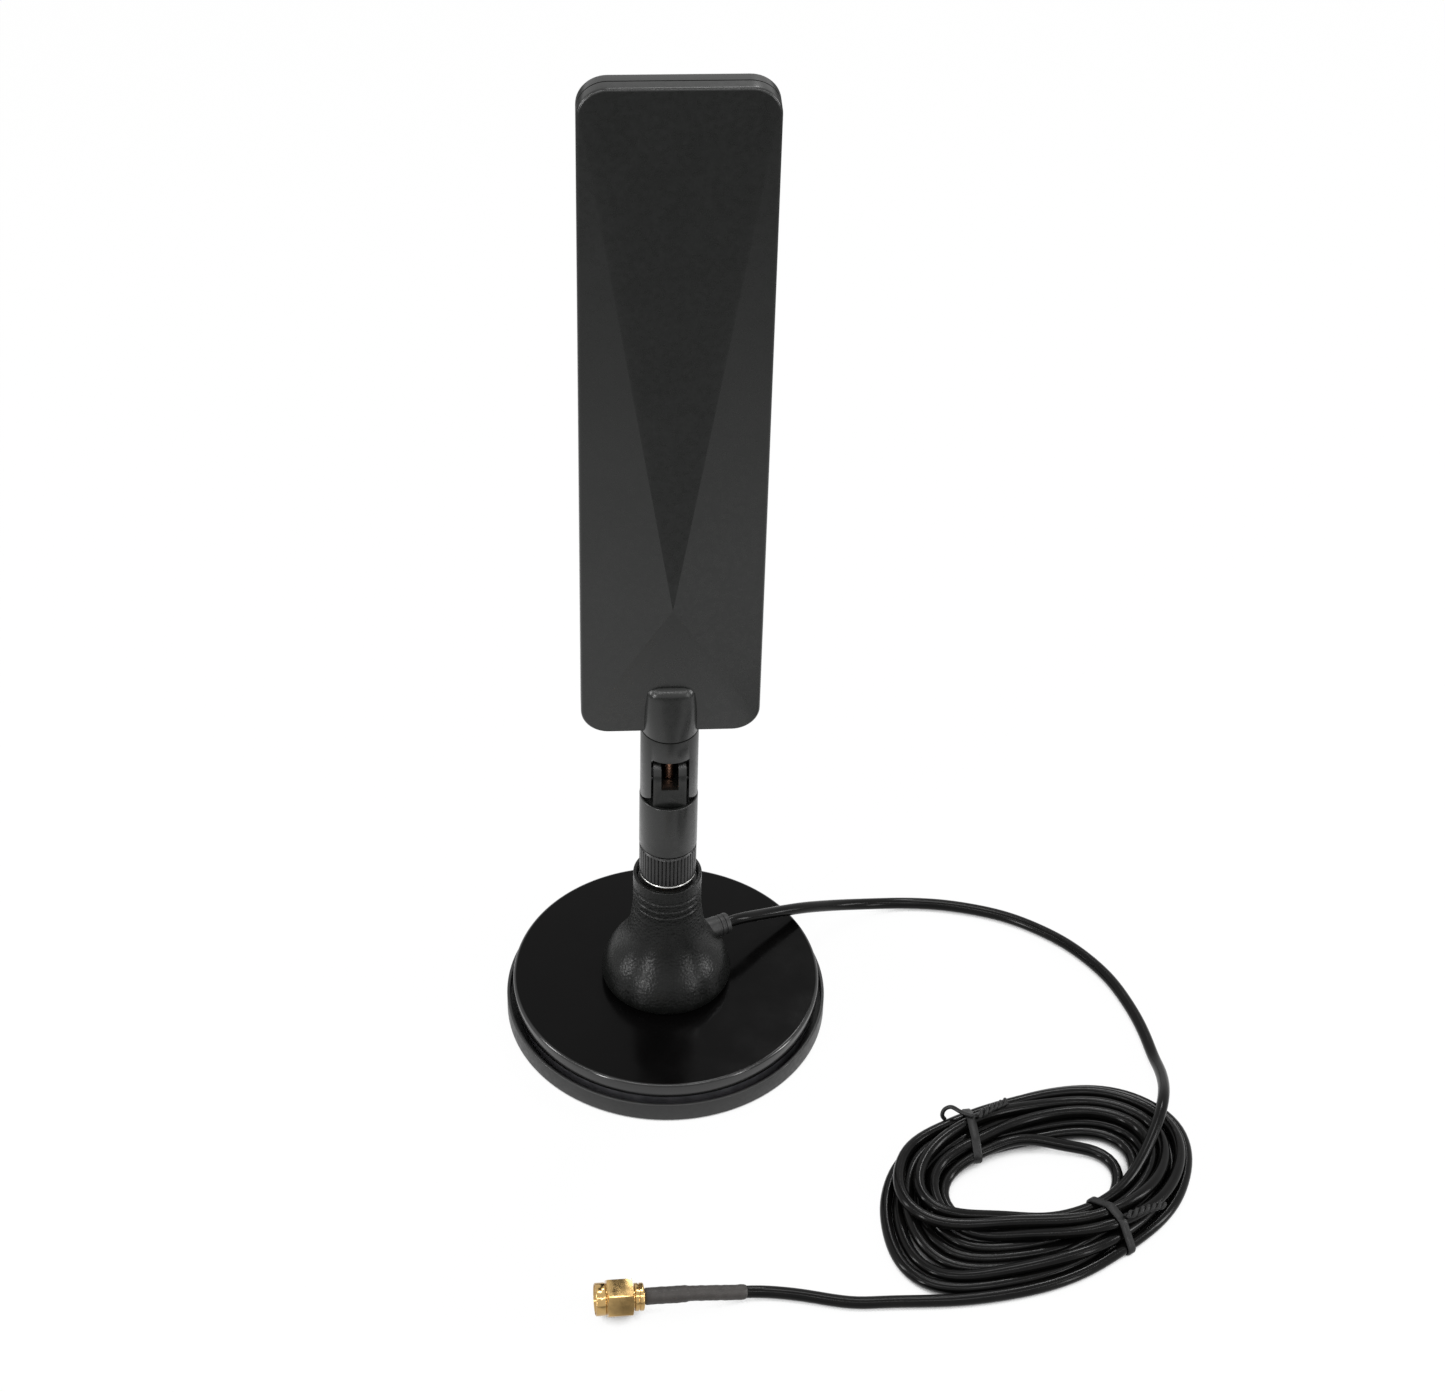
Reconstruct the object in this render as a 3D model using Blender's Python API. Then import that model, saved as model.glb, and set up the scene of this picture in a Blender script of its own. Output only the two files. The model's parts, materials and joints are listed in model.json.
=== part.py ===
"""Hinged paddle antenna on a magnetic stand, with a thin coaxial lead and its plug.

Metres, +Z up. The origin is the middle of the stand's underside. The blade's front
faces -Y. Run with Blender 4.5: blender --background --python part.py
"""

import math

import bmesh
import bpy
from mathutils import Matrix, Vector

# Clearances
SEAT_GAP = 0.0003
RUNNING_GAP = 0.0002
OVERCUT = 0.002
FLOOR_CLEARANCE = 0.0001

# How finely round pieces are divided
DISC_SIDES = 48
ROUND_SIDES = 32
SMALL_SIDES = 20
TINY_SIDES = 12

# Stand: boot, magnet and cover disc
BOOT_RADIUS = 0.0384
BOOT_HEIGHT = 0.0057
BOOT_FLOOR = 0.0012
BOOT_WALL = 0.0024
BOOT_EDGE = 0.0005
COVER_INSET = 0.0012
COVER_SKIRT = 0.0037
COVER_THICKNESS = 0.0012
COVER_EDGE = 0.0010
COVER_LIFT = 0.0009
MAGNET_HOLE = 0.0125

# Stand: bell and neck
BELL_FOOT_RADIUS = 0.0134
BELL_RADIUS = 0.0155
BELL_FOOT_ROUND = 0.0021
BELL_WALL = 0.0023
BELL_HEIGHT = 0.0338
NECK_RADIUS = 0.00805
NECK_EDGE = 0.0003
SOCKET_RADIUS = 0.0071
SOCKET_DEPTH = 0.0034
GROOVE_DROPS = (0.0040, 0.0062, 0.0082)
GROOVE_DEPTH = 0.00025
NECK_BORE = 0.0048
LEDGE_DROP = 0.0150
POST_RADIUS = 0.0024
POST_CIRCLE = 0.0090
POST_HEIGHT = 0.0095
SCREW_COUNT = 3
SCREW_RADIUS = 0.0011
SCREW_LENGTH = 0.0092
SCREW_HEAD_RADIUS = 0.0023
SCREW_HEAD_HEIGHT = 0.0014
DRIVE_WIDTH = 0.0006
DRIVE_DEPTH = 0.0007

# Cable outlet
GLAND_ANGLE = math.radians(24.0)
GLAND_HEIGHT = 0.0200
GLAND_RADIUS = 0.0026
GLAND_INSIDE = 0.0034
GLAND_OUTSIDE = 0.0040
CABLE_RADIUS = 0.0014

# Threaded coaxial interface, shared by the stand's jack and both plugs
THREAD_RADIUS = 0.003175
THREAD_PITCH = 0.0007056
THREAD_TURNS = 5
JACK_BARREL = 0.0078
JACK_FLANGE_RADIUS = 0.0064
JACK_FLANGE_HEIGHT = 0.0010
JACK_BODY_RADIUS = 0.0044
JACK_BORE = 0.0023
JACK_BORE_DEPTH = 0.0019
JACK_NUT_HEIGHT = 0.0025
JACK_NUT_ACROSS = 0.0110
JACK_TAIL = 0.0006
INSULATOR_RADIUS = 0.0018
CONTACT_RADIUS = 0.0009
CONTACT_BORE = 0.0006
CONTACT_DEPTH = 0.0034
PIN_RADIUS = 0.0004
PIN_REACH = 0.0020

# Ribbed coupling nut of the antenna
NUT_RADIUS = 0.00666
NUT_HEIGHT = 0.0094
NUT_LIFT = 0.0002
NUT_RIBS = 45
RIB_DEPTH = 0.00025
NUT_RIM = 0.0007
RING_THICKNESS = 0.0005
RING_GROOVE = 0.0009
RING_DROP = 0.0016
RING_REACH = 0.0007
RING_SLIT = 0.0010
NECK_WALL = 0.0029

# Hinge
LOWER_BARREL_RADIUS = 0.00672
LOWER_BARREL_HEIGHT = 0.0154
BARREL_EDGE = 0.0005
RIM_WIDTH = 0.0008
RIM_DISH = 0.0011
HEAD_RADIUS = 0.0046
HEAD_HEIGHT = 0.0015
HEAD_LIFT = 0.0017
PIVOT_LIFT = 0.0070
UPPER_BARREL_RADIUS = 0.0066
EAR_RADIUS = 0.00665
TONGUE_HALF_WIDTH = 0.00376
TONGUE_RADIUS = 0.0050
TONGUE_FLARE = 0.0009
PRONG_SLOT_HALF = 0.00197
PRONG_SLOT_DROP = 0.0022
WINDOW_HALF_WIDTH = 0.00433
WINDOW_TOP = 0.0073
BACK_WALL_START = 0.0053
STUD_RADIUS = 0.0019
STUD_REACH = 0.0053
SPIGOT_RADIUS = 0.0050
SPIGOT_LENGTH = 0.0078
COAX_RADIUS = 0.0010
COAX_BORE = 0.0014
COAX_GAP_AT_PIVOT = 0.0006

# Blade
BLADE_HALF_WIDTH = 0.0200
BLADE_LENGTH = 0.1639
BLADE_THICKNESS = 0.0059
BLADE_CORNER = 0.0062
BLADE_EDGE = 0.0007
BLADE_WALL = 0.0015
BLADE_ABOVE_PIVOT = 0.0139
APEX_ABOVE_FOOT = 0.0375
APEX_RISE = 0.0033
BOSS_RADIUS = 0.00655
BOSS_TOP_RADIUS = 0.0057
BOSS_HEIGHT = 0.0155
BOSS_ROUND = 0.0022
BOSS_BELOW_BLADE = 0.0004
BOARD_HALF_WIDTH = 0.0150
BOARD_START = 0.0112
BOARD_LENGTH = 0.1420
BOARD_THICKNESS = 0.0008
BOARD_POST_RADIUS = 0.0020
BOARD_POST_HEIGHTS = (0.0300, 0.1350)

# Lead: the plug and the coil
PLUG_MOUTH = Vector((-0.0198, -0.0944))
PLUG_HEADING = math.radians(4.2)
PLUG_TILT = math.radians(2.2)
PLUG_ROLL = math.radians(-4.0)
PLUG_NUT_LENGTH = 0.0088
PLUG_NUT_ACROSS = 0.0080
PLUG_RING_RADIUS = 0.00365
PLUG_RING_LENGTH = 0.0025
PLUG_COLLAR_RADIUS = 0.0031
PLUG_COLLAR_LENGTH = 0.0021
FERRULE_RADIUS = 0.00145
FERRULE_LENGTH = 0.0092
SLEEVE_RADIUS = 0.00195
SLEEVE_THIN_RADIUS = 0.00172
COIL_MIDDLE = Vector((0.0822, -0.0640))
COIL_HALF_LENGTH = 0.0390
COIL_HALF_WIDTH = 0.0272
COIL_ANGLE = math.radians(31.0)
HOLE_HALF_LENGTH = 0.0227
HOLE_HALF_WIDTH = 0.0119
HOLE_ANGLE = math.radians(14.0)
COIL_BOTTOM = 0.0010
COIL_TOP = 0.0092
TIE_ANGLES = (math.radians(130.0), math.radians(-40.0))
TIE_WIDTH = 0.0024
TIE_THICKNESS = 0.0005

# The lead's own route points, in metres, from the stand to the coil and from the
# shrink sleeve to the coil.
LEAD_ROUTE = (
    (0.0235, 0.0122, 0.0169),
    (0.0338, 0.0187, 0.0124),
    (0.0419, 0.0248, 0.0070),
    (0.0475, 0.0277, 0.0043),
    (0.0552, 0.0299, 0.0022),
    (0.0629, 0.0305, 0.0015),
    (0.0729, 0.0292, 0.0015),
    (0.0851, 0.0254, 0.0015),
    (0.0945, 0.0198, 0.0015),
    (0.1019, 0.0132, 0.0015),
    (0.1086, 0.0038, 0.0015),
    (0.1123, -0.0052, 0.0015),
    (0.1147, -0.0142, 0.0015),
    (0.1161, -0.0246, 0.0015),
    (0.1166, -0.0313, 0.0016),
    (0.1163, -0.0355, 0.0020),
    (0.1151, -0.0391, 0.0029),
    (0.1142, -0.0415, 0.0036),
)
SLEEVE_ROUTE = (
    (0.0046, -0.0924, 0.0037),
    (0.0092, -0.0918, 0.0028),
    (0.0138, -0.0911, 0.0020),
)
TAIL_ROUTE = (
    (0.0141, -0.0911, 0.0020),
    (0.0180, -0.0908, 0.0015),
    (0.0258, -0.0920, 0.0015),
    (0.0324, -0.0937, 0.0015),
    (0.0389, -0.0949, 0.0015),
    (0.0478, -0.0953, 0.0015),
    (0.0580, -0.0949, 0.0015),
    (0.0627, -0.0933, 0.0016),
)

# Places that follow from the sizes above
COVER_RADIUS = BOOT_RADIUS - COVER_INSET
BASE_INNER = BOOT_RADIUS - BOOT_WALL
MAGNET_BOTTOM = BOOT_FLOOR + SEAT_GAP
SKIRT_BOTTOM = BOOT_HEIGHT + COVER_LIFT
COVER_TOP = SKIRT_BOTTOM + COVER_SKIRT
COVER_UNDERSIDE = COVER_TOP - COVER_THICKNESS
MAGNET_TOP = COVER_UNDERSIDE - SEAT_GAP
MAGNET_RADIUS = BASE_INNER - SEAT_GAP
BELL_BOTTOM = COVER_TOP + SEAT_GAP
NECK_TOP = BELL_BOTTOM + BELL_HEIGHT
SOCKET_FLOOR = NECK_TOP - SOCKET_DEPTH
LEDGE = NECK_TOP - LEDGE_DROP
FLANGE_TOP = SOCKET_FLOOR + SEAT_GAP + JACK_FLANGE_HEIGHT
JACK_TOP = FLANGE_TOP + JACK_BARREL
INTERFACE = JACK_TOP - JACK_BORE_DEPTH
JACK_NUT_TOP = LEDGE - SEAT_GAP
JACK_BOTTOM = JACK_NUT_TOP - JACK_NUT_HEIGHT - JACK_TAIL
NUT_BOTTOM = NECK_TOP + NUT_LIFT
NUT_TOP = NUT_BOTTOM + NUT_HEIGHT
NUT_BORE = THREAD_RADIUS + RUNNING_GAP
RING_MIDDLE = NUT_TOP - RING_DROP
BARREL_BOTTOM = NUT_TOP + SEAT_GAP
BARREL_TOP = BARREL_BOTTOM + LOWER_BARREL_HEIGHT
HEAD_BOTTOM = BARREL_BOTTOM + HEAD_LIFT
HEAD_TOP = HEAD_BOTTOM + HEAD_HEIGHT
PIVOT = Vector((0.0, 0.0, BARREL_TOP + PIVOT_LIFT))
BLADE_BOTTOM = PIVOT.z + BLADE_ABOVE_PIVOT
BLADE_TOP = BLADE_BOTTOM + BLADE_LENGTH
BOSS_BOTTOM = BLADE_BOTTOM - BOSS_BELOW_BLADE
UPPER_BARREL_TOP = BOSS_BOTTOM - SEAT_GAP
APEX_HEIGHT = BLADE_BOTTOM + APEX_ABOVE_FOOT
THREAD_TRAVEL = THREAD_TURNS * THREAD_PITCH
GLAND_MIDDLE = Vector((0.0, 0.0, GLAND_HEIGHT))
GLAND_DIRECTION = Vector((math.cos(GLAND_ANGLE), math.sin(GLAND_ANGLE), 0.0))
SLEEVE_START = PLUG_NUT_LENGTH + SEAT_GAP + PLUG_COLLAR_LENGTH + SEAT_GAP
FERRULE_END = SLEEVE_START + FERRULE_LENGTH


# Materials


def material(name, colour, roughness, metallic=0.0):
    """A plain Principled material."""
    made = bpy.data.materials.new(name)
    made.use_nodes = True
    shader = made.node_tree.nodes["Principled BSDF"]
    shader.inputs["Base Color"].default_value = (*colour, 1.0)
    shader.inputs["Roughness"].default_value = roughness
    shader.inputs["Metallic"].default_value = metallic
    return made


# Outlines


def arc(centre_a, centre_b, radius, start, end, steps):
    """Points on an arc from start to end degrees."""
    turns = (math.radians(start + (end - start) * i / steps) for i in range(steps + 1))
    return [(centre_a + radius * math.cos(t), centre_b + radius * math.sin(t)) for t in turns]


def smooth_points(points, spacing):
    """Points at even spacing on a smooth curve through the given points."""
    knots = [Vector(point) for point in points]
    knots = [2 * knots[0] - knots[1], *knots, 2 * knots[-1] - knots[-2]]
    fine = []
    for before, start, end, after in zip(knots, knots[1:], knots[2:], knots[3:]):
        count = max(2, round((end - start).length / spacing * 8))
        for step in range(count):
            t = step / count
            fine.append(
                0.5
                * (
                    2 * start
                    + t * (end - before)
                    + t * t * (2 * before - 5 * start + 4 * end - after)
                    + t * t * t * (3 * start - before - 3 * end + after)
                )
            )
    fine.append(knots[-2])
    lengths = [0.0]
    for here, there in zip(fine, fine[1:]):
        lengths.append(lengths[-1] + (there - here).length)
    count = max(1, round(lengths[-1] / spacing))
    found = []
    place = 0
    for step in range(count + 1):
        wanted = lengths[-1] * step / count
        while place < len(fine) - 2 and lengths[place + 1] < wanted:
            place += 1
        span = lengths[place + 1] - lengths[place]
        found.append(fine[place].lerp(fine[place + 1], (wanted - lengths[place]) / span))
    return found


def rounded_rectangle(half_width, low, high, corner, steps=6):
    """The outline of an upright rectangle with round corners, as (x, z) points."""
    side = half_width - corner
    return (
        arc(side, high - corner, corner, 0, 90, steps)
        + arc(-side, high - corner, corner, 90, 180, steps)
        + arc(-side, low + corner, corner, 180, 270, steps)
        + arc(side, low + corner, corner, 270, 360, steps)
    )


def hexagon(across):
    """A hexagon's corners, with flats facing up and down its second axis."""
    return [
        (across / math.sqrt(3) * math.cos(math.radians(60 * i)),
         across / math.sqrt(3) * math.sin(math.radians(60 * i)))
        for i in range(6)
    ]


# Solids


def new_object(name, mesh_or_curve, finish):
    made = bpy.data.objects.new(name, mesh_or_curve)
    bpy.context.scene.collection.objects.link(made)
    made.data.materials.append(finish)
    return made


def object_from(name, bm, finish, sharp_angle=35.0, flat=()):
    """An object from a bmesh, with its faces outward and its round parts smooth."""
    for face in bm.faces:
        face.smooth = face not in flat
    bmesh.ops.remove_doubles(bm, verts=bm.verts, dist=1e-7)
    bmesh.ops.recalc_face_normals(bm, faces=bm.faces)
    mesh = bpy.data.meshes.new(name)
    bm.to_mesh(mesh)
    bm.free()
    mesh.set_sharp_from_angle(angle=math.radians(sharp_angle))
    return new_object(name, mesh, finish)


def turned(name, outline, finish, sides=ROUND_SIDES):
    """A solid turned about Z from (radius, height) points. A chain ends on the axis."""
    bm = bmesh.new()
    verts = [bm.verts.new((radius, 0.0, height)) for radius, height in outline]
    pairs = list(zip(verts, verts[1:]))
    if outline[0][0] > 0:
        pairs.append((verts[-1], verts[0]))
    edges = [bm.edges.new(pair) for pair in pairs]
    bmesh.ops.spin(
        bm,
        geom=verts + edges,
        cent=(0.0, 0.0, 0.0),
        axis=(0.0, 0.0, 1.0),
        angle=2 * math.pi,
        steps=sides,
    )
    return object_from(name, bm, finish)


def prism(name, outline, low, high, along, finish):
    """An outline pushed from low to high along X, Y or Z."""
    def point(a, b, c):
        return {"X": (c, a, b), "Y": (a, c, b), "Z": (a, b, c)}[along]

    bm = bmesh.new()
    face = bm.faces.new([bm.verts.new(point(a, b, low)) for a, b in outline])
    pushed = bmesh.ops.extrude_face_region(bm, geom=[face])["geom"]
    bmesh.ops.translate(
        bm,
        vec=Vector(point(0.0, 0.0, high - low)),
        verts=[item for item in pushed if isinstance(item, bmesh.types.BMVert)],
    )
    return object_from(name, bm, finish)


def lofted(name, rings, finish, tip=None):
    """Closed loops of points skinned in order, the last closed flat or to a tip."""
    bm = bmesh.new()
    loops = [[bm.verts.new(point) for point in ring] for ring in rings]
    count = len(loops[0])
    for lower, upper in zip(loops, loops[1:]):
        for i in range(count):
            j = (i + 1) % count
            bm.faces.new((lower[i], lower[j], upper[j], upper[i]))
    bm.faces.new(loops[0])
    last = loops[-1]
    if tip is None:
        facets = {bm.faces.new(last)}
    else:
        point = bm.verts.new(tip)
        facets = {bm.faces.new((last[i], last[(i + 1) % count], point)) for i in range(count)}
    return object_from(name, bm, finish, flat=facets)


def swept(name, path, radii, finish, sides=12):
    """A round bar along a path, with its own radius at each point."""
    across = Vector((0.0, 1.0, 0.0))
    rings = []
    for i, centre in enumerate(path):
        heading = (path[min(i + 1, len(path) - 1)] - path[max(i - 1, 0)]).normalized()
        across = (across - across.dot(heading) * heading).normalized()
        upward = heading.cross(across)
        rings.append(
            [
                centre + radii[i] * (across * math.cos(turn) + upward * math.sin(turn))
                for turn in (2 * math.pi * k / sides for k in range(sides))
            ]
        )
    return lofted(name, rings, finish)


def cable(name, points, finish):
    """A cable's tube: a curve with a round bevel and closed ends."""
    curve = bpy.data.curves.new(name, "CURVE")
    curve.dimensions = "3D"
    curve.bevel_depth = CABLE_RADIUS
    curve.bevel_resolution = 2
    curve.use_fill_caps = True
    spline = curve.splines.new("POLY")
    spline.points.add(len(points) - 1)
    for spot, point in zip(spline.points, points):
        spot.co = (*point, 1.0)
    return new_object(name, curve, finish)


def boolean(target, tool, operation):
    """A Boolean on the target. The tool itself is only a guide."""
    step = target.modifiers.new(tool.name, "BOOLEAN")
    step.operation = operation
    step.solver = "EXACT"
    step.object = tool
    tool.hide_render = True
    tool.display_type = "WIRE"


def cut(target, tool):
    boolean(target, tool, "DIFFERENCE")


def add(target, tool):
    boolean(target, tool, "UNION")


def keep_inside(target, tool):
    boolean(target, tool, "INTERSECT")


def rod_along(name, start, end, radius, finish, sides=SMALL_SIDES):
    """A round bar between two points."""
    start = Vector(start)
    end = Vector(end)
    length = (end - start).length
    bar = turned(name, [(0.0, 0.0), (radius, 0.0), (radius, length), (0.0, length)], finish, sides)
    turn = Vector((0.0, 0.0, 1.0)).rotation_difference(end - start).to_matrix().to_4x4()
    bar.data.transform(Matrix.Translation(start) @ turn)
    return bar


def joint_empty(name, place, turn=Matrix.Identity(4)):
    """An empty on a joint's axis, which carries what moves there."""
    made = bpy.data.objects.new(name, None)
    bpy.context.scene.collection.objects.link(made)
    made.matrix_world = Matrix.Translation(place) @ turn
    return made


def carry(empty, *pieces):
    """Parents pieces modelled in place to an empty, without moving them."""
    for piece in pieces:
        piece.data.transform(Matrix.Translation(-empty.location))
        piece.parent = empty


# Stand


def make_boot(rubber):
    outline = [(0.0, 0.0)]
    outline += arc(BOOT_RADIUS - BOOT_EDGE, BOOT_EDGE, BOOT_EDGE, -90, 0, 2)
    outline += arc(BOOT_RADIUS - BOOT_EDGE, BOOT_HEIGHT - BOOT_EDGE, BOOT_EDGE, 0, 90, 2)
    outline += [(BASE_INNER, BOOT_HEIGHT), (BASE_INNER, BOOT_FLOOR), (0.0, BOOT_FLOOR)]
    return turned("base_boot", outline, rubber, DISC_SIDES)


def make_magnet(ferrite):
    outline = [
        (MAGNET_HOLE, MAGNET_BOTTOM),
        (MAGNET_RADIUS, MAGNET_BOTTOM),
        (MAGNET_RADIUS, MAGNET_TOP),
        (MAGNET_HOLE, MAGNET_TOP),
    ]
    return turned("base_magnet", outline, ferrite)


def screw_places():
    """The screws' axes, spaced evenly and clear of the cable outlet."""
    for number in range(SCREW_COUNT):
        turn = GLAND_ANGLE + 2 * math.pi * (number + 0.5) / SCREW_COUNT
        yield Vector((POST_CIRCLE * math.cos(turn), POST_CIRCLE * math.sin(turn), 0.0))


def make_cover(lacquer):
    lip = (COVER_RADIUS - BASE_INNER) / 2
    outline = arc(COVER_RADIUS - COVER_EDGE, COVER_TOP - COVER_EDGE, COVER_EDGE, 90, 0, 3)
    outline += arc(COVER_RADIUS - lip, SKIRT_BOTTOM + lip, lip, 0, -180, 3)
    outline += [(BASE_INNER, COVER_UNDERSIDE), (0.0, COVER_UNDERSIDE)]
    cover = turned("base_cover", [(0.0, COVER_TOP), *outline], lacquer, DISC_SIDES)
    hole = SCREW_RADIUS + SEAT_GAP
    for number, place in enumerate(screw_places(), 1):
        cut(cover, rod_along(f"cover_hole_{number}", place, place + Vector((0, 0, 2 * COVER_TOP)),
                             hole, lacquer, TINY_SIDES))
    return cover


def make_base_screw(number, place, steel):
    head_top = COVER_UNDERSIDE - SEAT_GAP
    head_bottom = head_top - SCREW_HEAD_HEIGHT
    tip = head_top + SCREW_LENGTH
    outline = [
        (0.0, head_bottom),
        (SCREW_HEAD_RADIUS * 0.8, head_bottom),
        (SCREW_HEAD_RADIUS, head_bottom + SCREW_HEAD_HEIGHT * 0.4),
        (SCREW_HEAD_RADIUS, head_top),
        (SCREW_RADIUS, head_top),
        (SCREW_RADIUS, tip - SCREW_RADIUS),
        (0.0, tip),
    ]
    screw = turned(f"base_screw_{number}", outline, steel, TINY_SIDES)
    half = DRIVE_WIDTH / 2
    reach = SCREW_HEAD_RADIUS * 0.7
    low = head_bottom - OVERCUT
    high = head_bottom + DRIVE_DEPTH
    bar = [(-reach, -half), (reach, -half), (reach, half), (-reach, half)]
    for tag, outline in (("a", bar), ("b", [(-b, a) for a, b in bar])):
        slot = prism(f"drive_{number}{tag}", outline, low, high, "Z", steel)
        slot.data.transform(Matrix.Translation(place))
        cut(screw, slot)
    screw.data.transform(Matrix.Translation(place))
    return screw


def bell_outline():
    """The bell's outer side from the neck down, as (radius, height) points."""
    shape = (
        (NECK_RADIUS, 0.0240),
        (NECK_RADIUS + 0.0005, 0.0198),
        (NECK_RADIUS + 0.0014, 0.0156),
        (NECK_RADIUS + 0.0031, 0.0118),
        (BELL_RADIUS - 0.0020, 0.0083),
        (BELL_RADIUS - 0.0008, 0.0056),
        (BELL_RADIUS - 0.0001, 0.0031),
        (BELL_RADIUS, BELL_FOOT_ROUND),
    )
    side = smooth_points([(radius, 0.0, height) for radius, height in shape], 0.0030)
    return [(point.x, BELL_BOTTOM + point.z) for point in side]


def bell_radius_at(height):
    """The bell's outer radius at a height above the floor."""
    side = bell_outline()
    for (upper_radius, upper), (lower_radius, lower) in zip(side, side[1:]):
        if lower <= height <= upper:
            share = (height - lower) / (upper - lower)
            return lower_radius + share * (upper_radius - lower_radius)
    return BELL_RADIUS


def make_bell(shell):
    side = bell_outline()
    neck = arc(NECK_RADIUS - NECK_EDGE, NECK_TOP - NECK_EDGE, NECK_EDGE, 90, 0, 2)
    for drop in GROOVE_DROPS:
        height = NECK_TOP - drop
        neck += [
            (NECK_RADIUS, height + GROOVE_DEPTH),
            (NECK_RADIUS - GROOVE_DEPTH, height),
            (NECK_RADIUS, height - GROOVE_DEPTH),
        ]
    foot = arc(BELL_RADIUS - BELL_FOOT_ROUND, BELL_BOTTOM + BELL_FOOT_ROUND, BELL_FOOT_ROUND,
               -22, -90, 3)
    inside = [
        (radius - BELL_WALL, height)
        for radius, height in reversed(side[3:-2:2])
        if height < LEDGE - BELL_WALL
    ]
    ledge_radius = JACK_NUT_ACROSS / math.sqrt(3) + SEAT_GAP
    inside = [(radius, height) for radius, height in inside if radius > ledge_radius]
    inside.insert(0, (BELL_FOOT_RADIUS - BELL_WALL, BELL_BOTTOM))
    inside += [
        (ledge_radius, LEDGE - JACK_NUT_HEIGHT - JACK_TAIL),
        (ledge_radius, LEDGE),
        (NECK_BORE, LEDGE),
        (NECK_BORE, SOCKET_FLOOR),
        (SOCKET_RADIUS, SOCKET_FLOOR),
        (SOCKET_RADIUS, NECK_TOP - NECK_EDGE),
        (SOCKET_RADIUS + NECK_EDGE / 2, NECK_TOP),
    ]
    bell = turned("stand_bell", neck + side + foot + inside, shell)
    pilot = SCREW_RADIUS + SEAT_GAP
    for number, place in enumerate(screw_places(), 1):
        foot_of_post = place + Vector((0, 0, BELL_BOTTOM))
        top_of_post = foot_of_post + Vector((0, 0, POST_HEIGHT))
        add(bell, rod_along(f"post_{number}", foot_of_post, top_of_post, POST_RADIUS, shell,
                            TINY_SIDES))
    for number, place in enumerate(screw_places(), 1):
        bottom = place + Vector((0, 0, BELL_BOTTOM - OVERCUT))
        top = place + Vector((0, 0, BELL_BOTTOM + SCREW_LENGTH))
        cut(bell, rod_along(f"pilot_{number}", bottom, top, pilot, shell, TINY_SIDES))
    start, end = gland_ends()
    cut(bell, rod_along("gland_hole", start, end, GLAND_RADIUS + RUNNING_GAP, shell))
    return bell


def gland_ends():
    """The two ends of the rubber gland, inside and outside the bell."""
    wall = bell_radius_at(GLAND_HEIGHT)
    return (GLAND_MIDDLE + GLAND_DIRECTION * (wall - GLAND_INSIDE),
            GLAND_MIDDLE + GLAND_DIRECTION * (wall + GLAND_OUTSIDE))


def make_gland(rubber):
    edge = GLAND_RADIUS * 0.1
    length = GLAND_INSIDE + GLAND_OUTSIDE
    bore = CABLE_RADIUS + SEAT_GAP
    outline = [
        (bore, 0.0),
        (GLAND_RADIUS, 0.0),
        (GLAND_RADIUS, length - edge),
        (GLAND_RADIUS - edge, length),
        (bore, length),
    ]
    gland = turned("cable_gland", outline, rubber, SMALL_SIDES)
    turn = Vector((0, 0, 1)).rotation_difference(GLAND_DIRECTION).to_matrix().to_4x4()
    gland.data.transform(Matrix.Translation(gland_ends()[0]) @ turn)
    return gland


def make_jack(brass):
    edge = 0.0002
    top_bore = INTERFACE - SEAT_GAP
    core = INSULATOR_RADIUS + RUNNING_GAP
    outline = [
        (core, JACK_BOTTOM),
        (JACK_BODY_RADIUS, JACK_BOTTOM),
        (JACK_BODY_RADIUS, SOCKET_FLOOR + SEAT_GAP),
        (JACK_FLANGE_RADIUS, SOCKET_FLOOR + SEAT_GAP),
        (JACK_FLANGE_RADIUS, FLANGE_TOP),
        (THREAD_RADIUS, FLANGE_TOP),
        (THREAD_RADIUS, JACK_TOP - edge),
        (THREAD_RADIUS - edge, JACK_TOP),
        (JACK_BORE, JACK_TOP),
        (JACK_BORE, top_bore),
        (core, top_bore),
    ]
    return turned("stand_jack", outline, brass, SMALL_SIDES)


def make_jack_nut(brass):
    low = JACK_NUT_TOP - JACK_NUT_HEIGHT
    nut = prism("jack_nut", hexagon(JACK_NUT_ACROSS), low, JACK_NUT_TOP, "Z", brass)
    cut(nut, rod_along("jack_nut_bore", (0, 0, low - OVERCUT), (0, 0, JACK_NUT_TOP + OVERCUT),
                       JACK_BODY_RADIUS + RUNNING_GAP, brass))
    return nut


def make_jack_core(plastic, brass):
    insulator_top = INTERFACE - SEAT_GAP
    bore = CONTACT_RADIUS + RUNNING_GAP
    insulator = turned(
        "jack_insulator",
        [
            (bore, JACK_BOTTOM),
            (INSULATOR_RADIUS, JACK_BOTTOM),
            (INSULATOR_RADIUS, insulator_top),
            (bore, insulator_top),
        ],
        plastic,
        TINY_SIDES,
    )
    contact = turned(
        "jack_contact",
        [
            (0.0, JACK_BOTTOM),
            (CONTACT_RADIUS, JACK_BOTTOM),
            (CONTACT_RADIUS, insulator_top),
            (CONTACT_BORE, insulator_top),
            (CONTACT_BORE, insulator_top - CONTACT_DEPTH),
            (0.0, insulator_top - CONTACT_DEPTH),
        ],
        brass,
        TINY_SIDES,
    )
    return insulator, contact


# Antenna's own plug and ribbed nut


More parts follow.
